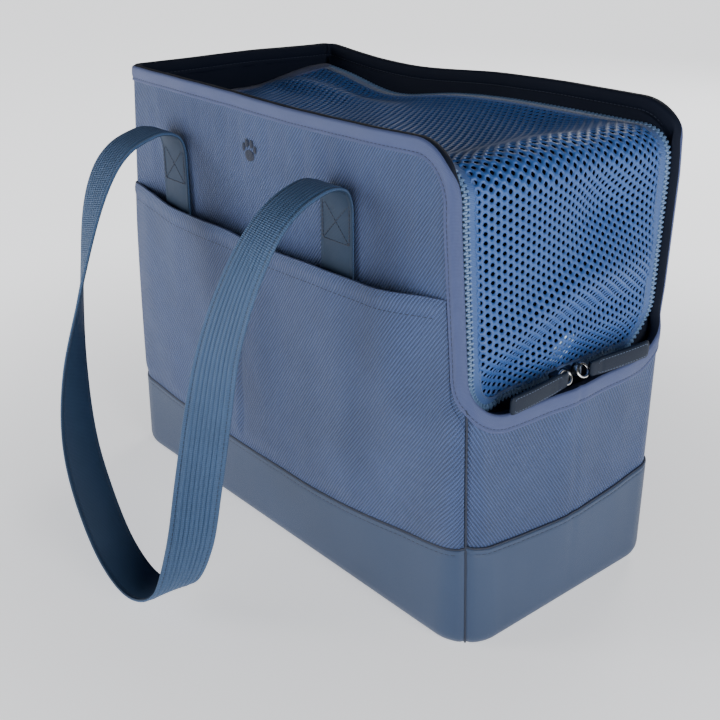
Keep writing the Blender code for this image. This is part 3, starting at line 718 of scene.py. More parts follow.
def build_bindings():
    quarter = math.pi / 2
    length = sum(side_lengths(0, RIM_Z))
    centre_z = RIM_Z - MOUTH_R
    front = [(1, m - length, RIM_Z, quarter) for m in spread(0.2, length - MOUTH_R, 110)]
    front += [(1, MOUTH_R * (math.cos(t) - 1.0), centre_z + MOUTH_R * math.sin(t), t)
              for t in reversed(spread(0.0, quarter, 19)[:-1])]
    binding("rim_tape_front", front, "rim_binding_front")
    back = [(2, -m, z, math.pi - t) for _, m, z, t in reversed(front)]
    binding("rim_tape_back", back, "rim_binding_back")

    floor_z = MOUTH_Z + MOUTH_R
    half = [(1, 0.0, z, 0.0) for z in spread(centre_z, floor_z, 44)[:-1]]
    half += [(1, MOUTH_R * (1.0 - math.cos(t)), floor_z - MOUTH_R * math.sin(t), t)
             for t in spread(0.0, quarter, 25)]
    middle = sum(side_lengths(1, MOUTH_Z)) / 2
    half += [(1, m, MOUTH_Z, quarter) for m in spread(MOUTH_R, middle, 26)[1:]]
    other = [(2, -m, z, math.pi - t) for _, m, z, t in reversed(half[:-1])]
    binding("mouth_tape", half + other, "rim_binding_mouth")

    reach = sum(side_lengths(3, RIM_Z))
    binding("rim_tape_high_end", [(3, m, RIM_Z, quarter) for m in spread(0.2, reach - 0.2, 70)],
            "rim_binding_high_end")


# ---------------------------------------------------------------- flap and zip

def window_x(z):
    return HALF_LENGTH - LEAN_LOW * z / HEIGHT - FLAP_INSET


BEND_Z = FLAP_Z - FLAP_BEND
BEND_X = window_x(BEND_Z) - FLAP_BEND
ROOF = BEND_X - HINGE_X
ARC = FLAP_BEND * math.pi / 2
FLAP_END = ROOF + ARC + BEND_Z - ZIP_Z


def flap(q, y, h):
    """Point on the flap: q runs from the hinge over the roof and down the window, h outwards."""
    if q <= ROOF:
        p = Vector((HINGE_X + q, y, FLAP_Z + h))
    elif q <= ROOF + ARC:
        t = math.pi / 2 - (q - ROOF) / FLAP_BEND
        radius = FLAP_BEND + h
        p = Vector((BEND_X + radius * math.cos(t), y, BEND_Z + radius * math.sin(t)))
    else:
        z = BEND_Z - (q - ROOF - ARC)
        p = Vector((window_x(z) + h, y, z))
    return settle(ease(p))


def ease(p):
    """The zip bows out to the mouth's sides, and hangs slack by the hinge and along the back."""
    bow = 5.5 * smooth(p.z, 160.0, 192.0) * smooth(p.x, 120.0, 172.0)
    drop = 12.0 * (1.0 - smooth(p.x, -158.0, -70.0)) * (1.0 - smooth(p.y, 5.0, 80.0))
    drop += 6.0 * bump(p.x, -72.0, 42.0) * smooth(p.y, 20.0, 82.0)
    drop += 8.0 * (1.0 - smooth(p.z, 150.0, 195.0)) * smooth(abs(p.y), 50.0, 72.0)
    return Vector((p.x + bow, p.y, p.z - drop))


def slack(q, y):
    """How the mesh lies off its plane: a sagging roof, a full window and soft folds."""
    side = max(0.0, 1.0 - (y / 78.0) ** 2)
    down = q - ROOF - ARC / 2
    roof = smooth(q, -8.0, 90.0) * (1.0 - smooth(q, ROOF - 60.0, ROOF + 12.0))
    window = smooth(down, -60.0, 0.0) * (1.0 - smooth(q, FLAP_END - 60.0, FLAP_END))
    h = -12.0 * side * roof + 6.5 * side ** 0.6 * window
    h -= 9.0 * math.exp(-(((y - 32.0) / 30.0) ** 2) - ((down - 34.0) / 19.0) ** 2)
    ridge = 101.0 - 26.0 * smooth(y, -74.0, 10.0)
    h += 5.0 * side ** 0.5 * bump(down, ridge, 12.0)
    h -= 4.5 * side ** 0.5 * bump(down - ridge, 23.0, 9.0)
    fold = math.sin((q * 0.9 + y * 1.4) * 0.055 + 1.5 * noise.noise(Vector((q, y, 0.0)) * 0.012))
    h += 2.2 * fold * side * (0.4 + 0.6 * noise.noise(Vector((q, y, 9.0)) * 0.02))
    peak = bump(y - 34.0, 0.1 * q, 15.0) * (1.0 - smooth(q, 30.0, 150.0))
    return h + 7.0 * peak * smooth(q, -10.0, 25.0) * side


def bend_at_hinge(obj):
    """Bakes the object's placement into its points."""
    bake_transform(obj)


def net_point(q, y, h):
    return flap(q, y, slack(q, y) + h)


NET_ACROSS, NET_ALONG = 4.2, 5.2     # spacing of the holes' columns, and of the holes in one
HOLE_ACROSS, HOLE_ALONG = 1.62, 1.35  # half sizes of a hole
NET_INSET, NET_INSET_LOW = 6.4, 3.9   # from the zip's middle to the outermost holes' middles
NET_LAYERS = (0.60, 0.10, -0.35, -0.60)  # heights of a cell's rim, its hole's two edges, the rim's back


def inside_net(q, y):
    """Whether a hole's middle lies well inside the zip."""
    if q < -7.0 or q > FLAP_END - NET_INSET_LOW or abs(y) > ZIP_HALF - NET_INSET:
        return False
    dq = (q - FLAP_END + ZIP_R) / (ZIP_R - NET_INSET_LOW)
    dy = (abs(y) - ZIP_HALF + ZIP_R) / (ZIP_R - NET_INSET)
    return not (dq > 0 and dy > 0 and math.hypot(dq, dy) > 1.0)


def build_net():
    """Knitted mesh: a lattice of six-sided cells, each a raised ring of yarn round an open hole."""
    points, faces, marks, known = [], [], [], {}
    rim_faces, rim_uses = {}, {}

    def vertex(q, y, layer):
        key = (round(q * 20), round(y * 20), layer)
        if key not in known:
            known[key] = len(points)
            points.append(net_point(q, y, NET_LAYERS[layer]))
            marks.append((q, y))
        return known[key]

    w, v = NET_ACROSS, NET_ALONG
    flat = v / 2
    tip = (w * w + v * v / 4) / (2 * w)
    rim = [(0.0, tip), (flat, w - tip), (flat, tip - w), (0.0, -tip), (-flat, tip - w), (-flat, w - tip)]
    angles = [math.atan2(y, q) for q, y in rim]
    column = 0
    y = 0.0
    while y < ZIP_HALF:
        for side in ((1, -1) if column else (1,)):
            start = -8.0 + (v / 2 if column % 2 else 0.0)
            for k in range(int(FLAP_END / v) + 3):
                q = start + k * v
                if not inside_net(q, y):
                    continue
                ring = []
                for (dq, dy), a in zip(rim, angles):
                    hq, hy = HOLE_ALONG * math.cos(a), HOLE_ACROSS * math.sin(a)
                    ring.append([vertex(q + dq, side * y + dy, 0), vertex(q + hq, side * y + hy, 1),
                                 vertex(q + hq, side * y + hy, 2), vertex(q + dq, side * y + dy, 3)])
                for i in range(6):
                    a, b = ring[i], ring[(i + 1) % 6]
                    for layer in range(3):
                        faces.append((a[layer], b[layer], b[layer + 1], a[layer + 1]))
                    edge = frozenset((a[0], b[0]))
                    rim_faces[edge] = (b[0], a[0], a[3], b[3])
                    rim_uses[edge] = rim_uses.get(edge, 0) + 1
        column += 1
        y += w
    faces += [face for edge, face in rim_faces.items() if rim_uses[edge] == 1]
    net = make("mesh_net", points, faces, "mesh", marks)
    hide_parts("mesh_flap")
    bend_at_hinge(net)


def zip_line(offset):
    """Points (q, y) from the front hinge end round the mouth to the back; offset is inwards.

    The tape inside the teeth is narrower along the bottom.
    """
    low = offset if offset < 3.0 else 3.0 + (offset - 3.0) * 0.25
    stop = FLAP_END - ZIP_R
    line = [(q, offset - ZIP_HALF) for q in spread(-4.0, stop, 230)]
    line += [(stop + (ZIP_R - low) * math.sin(t), ZIP_R - ZIP_HALF - (ZIP_R - offset) * math.cos(t))
             for t in spread(0.0, math.pi / 2, 24)[1:]]
    line += [(FLAP_END - low, y) for y in spread(ZIP_R - ZIP_HALF, 0.0, 30)[1:]]
    return line + [(q, -y) for q, y in reversed(line[:-1])]


def zip_surface(offset, h):
    return [flap(q, y, h) for q, y in zip_line(offset)]


TAPE_TUCK = 8.0       # how far below the fabric's edge the bag's zip tape is sewn
TEETH_EDGE = 1.9      # from the zip's middle to where the bag's tape ends
TOOTH_PITCH = 1.6     # between a tooth and the next one of the other row


def build_flap_tape():
    """Tape round the mesh, beside the flap's teeth, with one sewn line."""
    half_thick = 0.75
    rows = (1.9, 3.4, 5.2, 7.0, 8.8)
    faces = [zip(*(zip_surface(o, h) for o in rows)) for h in (half_thick, -half_thick)]
    grid = []
    run = 0.0
    for above, below in zip(*faces):
        if grid:
            run += (above[0] - grid[-1][0][0]).length
        grid.append([(a, b, (run, o)) for a, b, o in zip(above, below, rows)])
    tape = slab("flap_zip_tape", grid, "zip_tape")
    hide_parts("flap_edge_tape")
    bend_at_hinge(tape)
    sewn = [(p, (above - p).normalized()) for p, above in zip(zip_surface(7.6, 0.8), zip_surface(7.6, 3.0))]
    thread = stitches("flap_tape_stitching", [sewn[6:-6]], "thread", pitch=3.4, long=2.5)
    bend_at_hinge(thread)


def bag_rail(q, y):
    """Where the bag's tape is sewn beside a point of the zip: m from the low-end seam, and z."""
    if q <= ROOF:
        m = flap(q, -ZIP_HALF, 0.0).x - chart(0, 0.01, RIM_Z, -6.4).x
        return m - sum(side_lengths(0, RIM_Z)), RIM_Z - TAPE_TUCK
    if q <= ROOF + ARC:
        t = math.pi / 2 * (1.0 - (q - ROOF) / ARC)
        radius = MOUTH_R - TAPE_TUCK
        return radius * math.cos(t) - MOUTH_R, RIM_Z - MOUTH_R + radius * math.sin(t)
    if q <= FLAP_END - ZIP_R:
        return -TAPE_TUCK, BEND_Z - (q - ROOF - ARC)
    if abs(y) > ZIP_HALF - ZIP_R:
        t = math.asin(min(1.0, (q - (FLAP_END - ZIP_R)) / (ZIP_R + TEETH_EDGE)))
        radius = MOUTH_R + TAPE_TUCK
        return MOUTH_R - radius * math.cos(t), MOUTH_Z + MOUTH_R - radius * math.sin(t)
    share = 1.0 - abs(y) / (ZIP_HALF - ZIP_R)
    middle = sum(side_lengths(1, MOUTH_Z)) / 2
    return MOUTH_R + (middle - MOUTH_R) * share, MOUTH_Z - TAPE_TUCK


def build_bag_tape():
    """Tape from inside the binding to the bag's row of teeth."""
    teeth = zip_line(-TEETH_EDGE)
    middle = len(teeth) // 2
    rows = spread(0.0, 1.0, 5)
    grid = []
    for seam, sign, order in ((1, 1.0, range(middle + 1)), (2, -1.0, range(middle - 1, -1, -1))):
        for i in order:
            m, z = bag_rail(*teeth[i])
            rail = chart(seam, sign * m, z, -6.6)
            here, ahead, behind = (flap(q, sign * y, 0.0) for q, y in
                                   (teeth[i], teeth[min(i + 1, middle)], teeth[max(i - 1, 0)]))
            across = here - rail
            normal = ((ahead - behind) * sign).cross(across).normalized() * 0.4
            run = 2.0 * (len(grid) + 1)
            grid.append([(rail + across * t - normal, rail + across * t + normal, (run, across.length * t))
                         for t in rows])
    tape = slab("bag_zip_tape", grid, "lining")
    place(tape, "bag", "binding_tape", "zip_tape_bag")


def build_teeth(label, direction):
    """Moulded teeth: a broad foot on the tape and a nose that reaches over the zip's middle."""
    line = [(flap(q, y, 0.0), flap(q, y, 2.0), inner)
            for (q, y), inner in zip(zip_line(0.0), zip_surface(2.0, 0.0))]
    places = resample(line, TOOTH_PITCH)
    points, faces = [], []
    # reach across the zip, half length along it, half height
    sections = ((2.7, 0.55, 1.0), (1.9, 0.95, 1.2), (0.2, 0.95, 1.2), (-0.5, 0.75, 1.0), (-1.0, 0.45, 0.7))
    eight_sided = ((-1, -0.6), (-0.6, -1), (0.6, -1), (1, -0.6), (1, 0.6), (0.6, 1), (-0.6, 1), (-1, 0.6))
    for i in range(1 if direction > 0 else 2, len(places) - 1, 2):
        p, up, inn = places[i]
        way = (places[i + 1][0] - places[i - 1][0]).normalized()
        out = (up - p).normalized()
        across = (inn - p).normalized() * direction
        base = len(points)
        for reach, half, high in sections:
            points += [p + across * reach + way * (half * a) + out * (high * b) for a, b in eight_sided]
        for k in range(len(sections) - 1):
            for j in range(8):
                a, b = base + k * 8 + j, base + k * 8 + (j + 1) % 8
                faces.append((a, b, b + 8, a + 8) if direction > 0 else (b, a, a + 8, b + 8))
        ends = [tuple(range(base + 7, base - 1, -1)), tuple(range(base + 32, base + 40))]
        faces += ends if direction > 0 else [tuple(reversed(end)) for end in ends]
    teeth = make(f"moulded_teeth_{label}", points, faces, "teeth")
    teeth.data.set_sharp_from_angle(angle=math.radians(40.0))
    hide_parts(f"zip_teeth_{label}")
    if label == "flap":
        bend_at_hinge(teeth)
    else:
        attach(teeth, "bag")


def build_zip():
    build_flap_tape()
    build_bag_tape()
    for label, direction in (("flap", 1.0), ("bag", -1.0)):
        build_teeth(label, direction)


def build_flap_hem():
    """Strip that sews the mesh to the lining at the hinge."""
    grid = []
    for y in spread(-86.0, 86.0, 60):
        xs = spread(HINGE_X - 11.0, HINGE_X + 2.0, 6)
        grid.append([(flap(x - HINGE_X, y, h), flap(x - HINGE_X, y, -0.9), (y, x))
                     for x, h in zip(xs, (0.5, 0.9, 1.3, 1.4, 1.2, 0.8))])
    hem = slab("flap_hem_tape", grid, "tape")
    place(hem, "bag", "mesh", "flap_hem")


# ---------------------------------------------------------------- sliders and pulls

def tube(name, path, radius, material, closed=False):
    """Round wire along points."""
    count = len(path)
    frames = []
    side = None
    for i, p in enumerate(path):
        ahead = path[(i + 1) % count] if closed or i < count - 1 else p
        behind = path[i - 1] if closed or i else p
        way = (ahead - behind).normalized()
        if side is None:
            side = way.orthogonal().normalized()
        side = (side - way * side.dot(way)).normalized()
        frames.append((p, side, way.cross(side)))
    return sweep(name, frames, oval(radius, radius, 12), material, closed)


def rounded(width, height, radius):
    """Closed outline of a rounded rectangle."""
    steps = 4
    out = []
    for cx, cy, start in ((1, 1, 0.0), (-1, 1, 0.5), (-1, -1, 1.0), (1, -1, 1.5)):
        for k in range(steps + 1):
            a = math.pi * (start + 0.5 * k / steps)
            out.append((cx * (width / 2 - radius) + radius * math.cos(a),
                        cy * (height / 2 - radius) + radius * math.sin(a)))
    return out


# Rings of a slider's body, outwards: x, half width, middle height and height.
SLIDER_RINGS = ((173.6, 3.4, 161.6, 6.4), (174.4, 4.4, 161.6, 7.4), (180.0, 4.4, 160.6, 7.4),
                (181.4, 3.6, 159.8, 5.6), (181.8, 2.4, 159.6, 3.8))
# Middle line of the bridge that holds the pull, x and z.
BRIDGE = ((181.0, 160.4), (184.5, 160.6), (186.6, 161.2), (187.5, 162.4), (187.6, 164.0), (187.6, 166.5),
          (187.4, 168.2), (186.4, 169.4), (184.6, 169.8), (182.6, 168.8), (181.4, 166.4), (180.6, 162.6))
HOOP_LEAN = math.radians(55.0)


def build_pulls():
    for label, s in (("front", -1.0), ("back", 1.0)):
        low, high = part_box(f"zip_slider_{label}")
        y_mid = (low.y + high.y) / 2 / MM
        rings = [[Vector((x, y_mid + a, z + b)) for a, b in rounded(half * 2, tall, 1.4)]
                 for x, half, z, tall in SLIDER_RINGS]
        slider = make(f"slider_body_{label}", [p for ring in rings for p in ring],
                      ring_faces(len(rings), len(rings[0])), "gunmetal")
        crease_rim(slider)
        place(slider, f"slider_{label}", "metal", f"zip_slider_{label}")
        bridge = tube(f"slider_bridge_{label}", [Vector((x, y_mid, z)) for x, z in BRIDGE], 0.85, "gunmetal")
        place(bridge, f"slider_{label}", "metal")

        across = Vector((0.0, 1.0, 0.0))
        lean = Vector((-math.cos(HOOP_LEAN), 0.0, math.sin(HOOP_LEAN)))
        centre = Vector((187.6, y_mid + s * 2.3, 165.2))
        ring = [centre + (across * math.cos(a) * 4.9 + lean * math.sin(a) * 4.4) for a in round_angles(36)]
        hoop = tube(f"pull_hoop_{label}", ring, 0.95, "steel", closed=True)
        place(hoop, f"pull_{label}", "metal", f"pull_ring_{label}")
        build_tab(label, s)


TAB_THROAT = 3.5      # the tab's part that is folded round the hoop
TAB_SPLAY = 3.4       # how much farther out its far end hangs, clear of the mouth's tape


def build_tab(label, s):
    """Padded strip with a rounded end, a folded throat for the hoop and stitching round its edge."""
    low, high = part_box(f"pull_tab_{label}")
    x_mid, z_mid = (low.x + high.x) / 2 / MM, (low.z + high.z) / 2 / MM + 0.6 * LIP_RISE
    near = min(abs(low.y), abs(high.y)) / MM
    far = max(abs(low.y), abs(high.y)) / MM
    width = (high.z - low.z) / MM
    stations = []
    for t in spread(0.0, 1.0, 40):
        y = near - TAB_THROAT + (far - near + TAB_THROAT) * t
        end = min(y - near + TAB_THROAT, far - y)
        bow = math.sqrt(max(0.0, 1.0 - (1.0 - ramp(end, 0.0, 3.0)) ** 2))
        half = (width / 2) * (0.88 + 0.12 * smooth(y, near, near + 9.0)) * (0.58 + 0.42 * bow)
        turn_in = bump(y - near, 7.0, 0.9)
        thick = (1.5 + 0.5 * math.sin(math.pi * t) - 0.55 * turn_in) * (0.35 + 0.65 * bow)
        droop = -1.6 * math.sin(math.pi * t) * (1.0 - t)
        x = x_mid - 1.0 + TAB_SPLAY * smooth(y, near, far)
        stations.append((x, s * y, z_mid + 0.6 + droop * 0.4, half, thick))
    section = [(math.copysign(abs(math.cos(a)) ** 0.55, math.cos(a)),
                math.copysign(abs(math.sin(a)) ** 0.8, math.sin(a))) for a in round_angles(32)]
    points = [Vector((x + b * thick, y, z + a * half)) for x, y, z, half, thick in stations
              for a, b in section]
    marks = [(abs(y), a * half) for _, y, _, half, _ in stations for a, _ in section]
    faces = ring_faces(len(stations), len(section))
    if s < 0:
        faces = [tuple(reversed(face)) for face in faces]
    tab = make(f"padded_tab_{label}", points, faces, "tab", marks)
    place(tab, f"pull_{label}", "pull_tab", f"pull_tab_{label}")

    lines = []
    sewn = stations[5:-2]
    for face in (1.0, -1.0):
        loop = []
        for sign, order in ((1.0, sewn), (-1.0, reversed(sewn))):
            for x, y, z, half, thick in order:
                loop.append((Vector((x + face * thick * 0.86, y, z + sign * (half - 1.7))),
                             Vector((face, 0.0, 0.25 * sign)).normalized()))
        lines.append(loop + loop[:1])
    sew(f"tab_stitching_{label}", lines, f"pull_{label}", "pull_tab", "thread", pitch=2.6, long=1.9,
        wide=0.45)


# ---------------------------------------------------------------- handles

def spline(controls, steps):
    """Catmull-Rom curve through tuples of numbers."""
    pts = [controls[0], *controls, controls[-1]]
    out = []
    for i in range(len(controls) - 1):
        p0, p1, p2, p3 = (Vector(p) for p in pts[i:i + 4])
        for k in range(steps if i < len(controls) - 2 else steps + 1):
            t = k / steps
            out.append(0.5 * ((2 * p1) + (p2 - p0) * t + (2 * p0 - 5 * p1 + 4 * p2 - p3) * t * t
                              + (3 * p1 - p0 - 3 * p2 + p3) * t ** 3))
    return out


# Middle line of the webbing from foot to foot: x, y, z and how far its width has turned, in degrees.
STRAP = ((79.0, -97.4, 168.0, 0.0), (79.0, -98.6, 215.0, 0.0), (79.0, -98.8, 258.0, 0.0),
         (79.1, -99.4, 270.0, 0.0), (79.6, -103.0, 278.5, 0.0), (80.8, -111.0, 282.3, 0.0),
         (82.0, -122.0, 282.0, 0.0), (83.0, -138.0, 276.5, 0.0), (82.8, -152.0, 266.0, 1.0),
         (80.6, -163.5, 249.0, 5.0), (73.5, -172.5, 222.0, 10.0), (62.5, -177.5, 187.0, 20.0),
         (54.0, -181.5, 146.0, 38.0), (52.3, -190.5, 99.0, 54.0), (54.2, -201.5, 58.0, 68.0),
         (46.0, -210.5, 28.0, 84.0), (21.0, -217.5, 18.0, 97.0), (-8.0, -220.3, 32.0, 98.5),
         (-34.0, -220.2, 64.4, 100.0), (-55.0, -216.0, 98.5, 109.0), (-71.0, -206.0, 138.5, 124.0),
         (-82.5, -191.0, 184.0, 146.0), (-92.0, -173.5, 233.0, 168.0), (-97.5, -158.0, 261.0, 178.0),
         (-100.0, -142.0, 276.0, 180.0), (-100.9, -123.0, 283.0, 180.0), (-101.0, -111.5, 283.5, 180.0),
         (-101.0, -103.0, 279.5, 180.0), (-101.0, -99.4, 271.0, 180.0), (-101.0, -98.8, 259.0, 180.0),
         (-101.0, -98.6, 215.0, 180.0), (-101.0, -97.4, 168.0, 180.0))
RISE_END = -103.0            # how far out the sewn ends reach before the hanging loop takes over
GROOVE = 2.6                 # from the webbing's edge to its sewn groove


def webbing_profile():
    """Smooth on one face; eight cords lie between two sewn grooves and the selvedges on the other."""
    half, edge, cords, steps = WEBBING / 2, 3.4, 8, 5
    pitch = (WEBBING - 2 * edge) / cords
    smooth_face = [(-half, 0.3), (-half + 0.5, 0.95), (-half + 1.9, 1.0), (-half + GROOVE, 0.7),
                   (-half + 3.3, 1.0)]
    face = smooth_face + [(0.0, 1.05)] + [(-a, b) for a, b in reversed(smooth_face)]
    selvedge = [(half, -0.3), (half - 0.5, -1.0), (half - 1.9, -1.1), (half - GROOVE, -0.6)]
    ribs = selvedge + [(half - edge, -1.0)]
    for cord in range(cords):
        start = half - edge - pitch * cord
        for k in range(1, steps):
            ribs.append((start - pitch * k / steps, -0.8 - 0.75 * math.sin(math.pi * k / steps) ** 0.6))
        ribs.append((start - pitch, -0.8))
    ribs += [(-a, b) for a, b in reversed(selvedge)]
    return face + ribs, len(face)


def ribbon_frames(curve, flip):
    """Centre, width direction and face direction along a strap; flip is -1 in front and 1 behind."""
    frames = []
    for i, station in enumerate(curve):
        way = (curve[min(i + 1, len(curve) - 1)] - curve[max(i - 1, 0)]).to_3d().normalized()
        turn = math.radians(station[3])
        across = Vector((-math.cos(turn), -math.sin(turn), 0.0))
        across = (across - way * across.dot(way)).normalized()
        through = way.cross(across)
        frames.append(tuple(Vector((v.x, v.y * -flip, v.z)) for v in (station.to_3d(), across, through)))
    return frames


def edge_threads(frames):
    """Sewn lines in the grooves of both faces."""
    lines = []
    for sign in (1.0, -1.0):
        for depth in (0.75, -0.65):
            lines.append([(p + a * (sign * (WEBBING / 2 - GROOVE)) + t * depth,
                           t * math.copysign(1.0, depth)) for p, a, t in frames])
    return lines


def webbing(name, frames):
    """Length of webbing whose smooth face has its own finer weave and a darker tone; the darkening is
    painted shade for the loop's inner side.
    """
    profile, smooth_count = webbing_profile()
    strap = sweep(name, frames, profile, "webbing")
    strap.data.materials.append(MATERIALS["webbing_smooth_painted_shade"])
    row = [1 if j < smooth_count - 1 else 0 for j in range(len(profile))]
    strap.data.polygons.foreach_set("material_index", row * (len(frames) - 1) + [0, 0])
    return strap


def swing(obj):
    """Bakes the loop's placement into its points."""
    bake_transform(obj)


def build_handles():
    curve = spline(STRAP, 14)
    out = [i for i, station in enumerate(curve) if station.y <= RISE_END]
    for label, flip in (("front", -1.0), ("back", 1.0)):
        frames = ribbon_frames(curve, flip)
        for end, part, top in (("low", frames[:out[0] + 1], STRAP[2]),
                               ("high", frames[out[-1]:], STRAP[-3])):
            strap = webbing(f"strap_rise_{label}_{end}", part)
            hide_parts(f"handle_anchor_{label}_{end}", f"handle_fold_{label}_{end}")
            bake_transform(strap)
            build_box_stitch(f"box_stitch_{label}_{end}", top[0], top[2], flip)
        part = frames[out[0]:out[-1] + 1]
        strap = webbing(f"strap_loop_{label}", part)
        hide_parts(f"handle_loop_{label}")
        swing(strap)
        thread = stitches(f"strap_stitching_{label}", edge_threads(part), "thread_dark", pitch=3.0, long=2.2)
        swing(thread)


def build_box_stitch(name, x, top, flip):
    """Square with a cross, sewn through the webbing into the wall."""
    half, low, high = 12.4, top - 13.0, top + 12.0
    y = flip * (abs(STRAP[2][1]) + 1.05)
    out = Vector((0.0, flip, 0.0))
    corners = [(x - half, low), (x + half, low), (x + half, high), (x - half, high)]
    seams = [*zip(corners, corners[1:] + corners[:1]), (corners[0], corners[2]), (corners[1], corners[3])]
    lines = [[(Vector((a, y, b)), out) for a, b in seam] for seam in seams]
    sew(name, lines, "bag", "webbing", pitch=2.6, long=2.1, wide=0.75, high=0.5)


# ---------------------------------------------------------------- inside and underneath

def outline(z, d):
    """Closed loop round the bag's plan at a height, d off the wall."""
    loop = []
    for side in range(4):
        count = 60 if side in (0, 2) else 30
        for u in spread(0.0, 1.0, 9)[:-1] + spread(1.0, 2.0, count)[:-1] + spread(2.0, 3.0, 9)[:-1]:
            loop.append(plain_wall(side, u, z, d))
    return loop


def disc(name, rings, material, *nodes, body="bag", slot="coated_band"):
    """Closed cushion-like body through rings, each a closed outline of equal count."""
    points = [p for ring in rings for p in ring]
    obj = make(name, points, ring_faces(len(rings), len(rings[0])), material, [(p.x, p.y) for p in points])
    crease_rim(obj)
    place(obj, body, slot, *nodes)
    return obj


# Rings of the mat from its underside to its top, off the wall and height; its top is lumpy.
MAT_RINGS = ((-26.0, 10.3), (-13.0, 10.6), (-9.0, 13.0), (-7.9, 18.0), (-9.0, 23.5), (-13.0, 27.6),
             (-22.0, 29.6), (-40.0, 30.4), (-70.0, 30.8))
MAT_TOP = 27.0


def build_inside():
    disc("base_skin", [outline(z, d) for d, z in ((-12.0, 1.4), (-10.8, 0.5), (-13.0, 0.0), (-60.0, 0.9))]
         + [outline(2.6, -60.0), outline(3.4, -12.5)], "coated", "base_panel")
    disc("stiff_board", [outline(z, d) for d, z in ((-8.0, 6.9), (-6.6, 7.3), (-6.6, 9.3), (-8.0, 9.7))],
         "board", "base_board", slot="lining")
    rings = []
    for d, z in MAT_RINGS:
        lump = 1.2 if z > MAT_TOP else 0.0
        rings.append([Vector((p.x, p.y, z + lump * noise.noise(Vector((p.x, p.y, z)) * 0.03)))
                      for p in outline(12.0, d)])
    mat = disc("fleece_mat", rings, "fleece", "cushion_mat", slot="cushion")


# The tether's doubled strap hangs down and comes back up: how far off its wall side, and height.
TETHER = ((6.6, 236.0), (5.8, 226.0), (4.0, 212.0), (2.8, 198.0), (3.2, 190.0), (5.0, 188.6), (6.6, 190.4),
          (6.4, 198.0), (6.8, 212.0), (7.4, 224.0))


def build_tether():
    wall_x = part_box("tether_strap")[0].x / MM
    frames = [(Vector((wall_x + dx, 0.0, z)), Vector((0, 1, 0)), Vector((1, 0, -0.1))) for dx, z in TETHER]
    strap = sweep("tether_loop", frames, rounded(20.0, 1.4, 0.6), "webbing")
    place(strap, "bag", "webbing", "tether_strap")
    low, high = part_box("tether_ring")
    middle = (low + high) / 2 / MM
    ring = [Vector((middle.x, 10.0 * math.cos(a), middle.z + 10.0 * max(-1.0, min(0.62, math.sin(a)))))
            for a in round_angles(48)]
    hoop = tube("tether_d_ring", ring, 1.4, "steel", closed=True)
    place(hoop, "bag", "metal", "tether_ring")


# Pads of the paw: x and z from its middle, and their half sizes.
PAW_X, PAW_Z = -11.0, 284.0
PAW_PADS = ((0.0, -2.6, 4.6, 3.6), (-6.0, 2.2, 1.9, 2.7), (-2.2, 5.4, 1.9, 2.8), (2.2, 5.4, 1.9, 2.8),
            (6.0, 2.2, 1.9, 2.7))


def build_motif():
    """Small embroidered paw between the handles: rows of thread, each a little ridge over a pad."""
    points, faces = [], []
    for cx, cz, rx, rz in PAW_PADS:
        count = int(rz * 2 / 0.42)
        for k in range(count):
            t = -1.0 + 2.0 * (k + 0.5) / count
            chord = math.sqrt(1.0 - t * t)
            base = len(points)
            for a in spread(-1.0, 1.0, 9):
                height = 0.75 * math.sqrt(max(0.0, 1.0 - (a * chord) ** 2 - 0.8 * t * t))
                for dz, dh in ((-0.19, 0.0), (0.0, 0.16), (0.19, 0.0)):
                    x, z = PAW_X + cx + a * rx * chord, PAW_Z + cz + t * rz + dz
                    u = u_at(0, x - plain_wall(0, 0.0, z, 0.0).x, z)
                    points.append(wall(0, u, z, 0.1 + height + dh))
            for i in range(8):
                for j in range(2):
                    a = base + i * 3 + j
                    faces.append((a, a + 3, a + 4, a + 1))
    motif = make("embroidered_paw", points, faces, "thread_dark")
    place(motif, "bag", "twill")


def build_stud():
    """Pale round patch on the mesh's inner face, low in the window."""
    centre_q, y = FLAP_END - 21.0, -3.0
    rings = []
    for radius, h in ((11.0, -0.55), (11.8, -0.7), (11.8, -1.2), (10.6, -1.5), (4.0, -1.6)):
        rings.append([net_point(centre_q + radius * math.cos(a), y + radius * math.sin(a), h)
                      for a in reversed(round_angles(48))])
    disc("mesh_patch", rings, "stud", body="flap", slot="mesh")


# ---------------------------------------------------------------- set

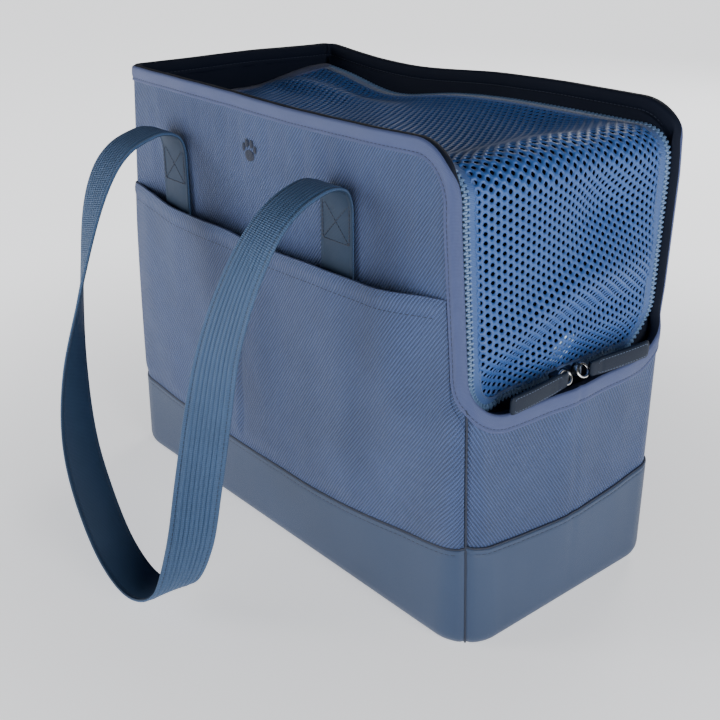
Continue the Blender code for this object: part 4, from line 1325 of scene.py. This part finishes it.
def build_floor():
    """Pale paper that emits light of its own, more with distance from the bag, so it is darker near the bag:
    painted light and a painted contact shadow.
    """
    mesh = bpy.data.meshes.new("studio_floor")
    half = 40.0
    mesh.from_pydata([(-half, -half, 0), (half, -half, 0), (half, half, 0), (-half, half, 0)], [],
                     [(0, 1, 2, 3)])
    mat, tree, bsdf = shader("studio_paper", 0.8)
    bsdf.inputs["Base Color"].default_value = (0.86, 0.86, 0.87, 1.0)
    bsdf.inputs["Emission Color"].default_value = (0.97, 0.98, 1.0, 1.0)
    away = node(tree, "ShaderNodeVectorMath", node(tree, "ShaderNodeTexCoord").outputs["Object"],
                operation="LENGTH")
    # The paper's emission is painted light; its dip near the bag is a painted shadow.
    emission_and_painted_shadow = node(tree, "ShaderNodeMapRange", away.outputs["Value"], 0.12, 0.75, 0.66, 1.45,
                interpolation_type="SMOOTHSTEP")
    tree.links.new(emission_and_painted_shadow.outputs[0], bsdf.inputs["Emission Strength"])
    mesh.materials.append(mat)
    add("studio_floor", mesh)


def build_world():
    world = bpy.data.worlds.new("soft_room")
    bpy.context.scene.world = world
    world.use_nodes = True
    tree = world.node_tree
    where = node(tree, "ShaderNodeTexCoord").outputs["Generated"]
    height = node(tree, "ShaderNodeSeparateXYZ", where).outputs[2]
    tone = node(tree, "ShaderNodeMapRange", height, 0.0, 0.6, 1.0, 0.03, interpolation_type="SMOOTHSTEP")
    strength = maths(tree, "MULTIPLY", tone.outputs[0], 0.70)
    background = tree.nodes["Background"]
    background.inputs[0].default_value = (0.96, 0.96, 1.0, 1.0)
    tree.links.new(strength, background.inputs[1])


def build_lamps():
    aim = Vector((0, 0, 0.12))
    for name, at, size, watts, colour in (
            ("window", (-1.1, -1.85, 0.50), 1.1, 29.0, (0.97, 0.98, 1.0)),
            ("side", (1.9, -0.4, 0.60), 1.1, 25.0, (0.99, 0.99, 1.0)),
            ("rear", (-0.6, 1.7, 1.0), 0.8, 10.0, (0.98, 0.98, 1.0))):
        light = bpy.data.lights.new(name, "AREA")
        light.shape = "DISK"
        light.size = size
        light.energy = watts
        light.color = colour
        lamp = add(name, light)
        lamp.location = at
        lamp.visible_camera = False
        lamp.rotation_euler = (aim - Vector(at)).to_track_quat("-Z", "Y").to_euler()


def build_camera():
    azimuth, elevation = math.radians(49.34), math.radians(24.13)
    ahead = Vector((-math.sin(azimuth) * math.cos(elevation), math.cos(azimuth) * math.cos(elevation),
                    -math.sin(elevation)))
    data = bpy.data.cameras.new("camera")
    data.lens = 55.06
    data.sensor_width = 36.0
    camera = add("camera", data)
    camera.location = (0.5693, -0.5018, 0.4508)
    camera.rotation_euler = ahead.to_track_quat("-Z", "Y").to_euler()
    bpy.context.scene.camera = camera


build_floor()
build_world()
build_lamps()
build_camera()
build_walls()
build_lining()
build_welts()
build_pockets()
build_bindings()
build_zip()
build_net()
build_flap_hem()
build_pulls()
build_handles()
build_inside()
build_tether()
build_motif()
build_stud()
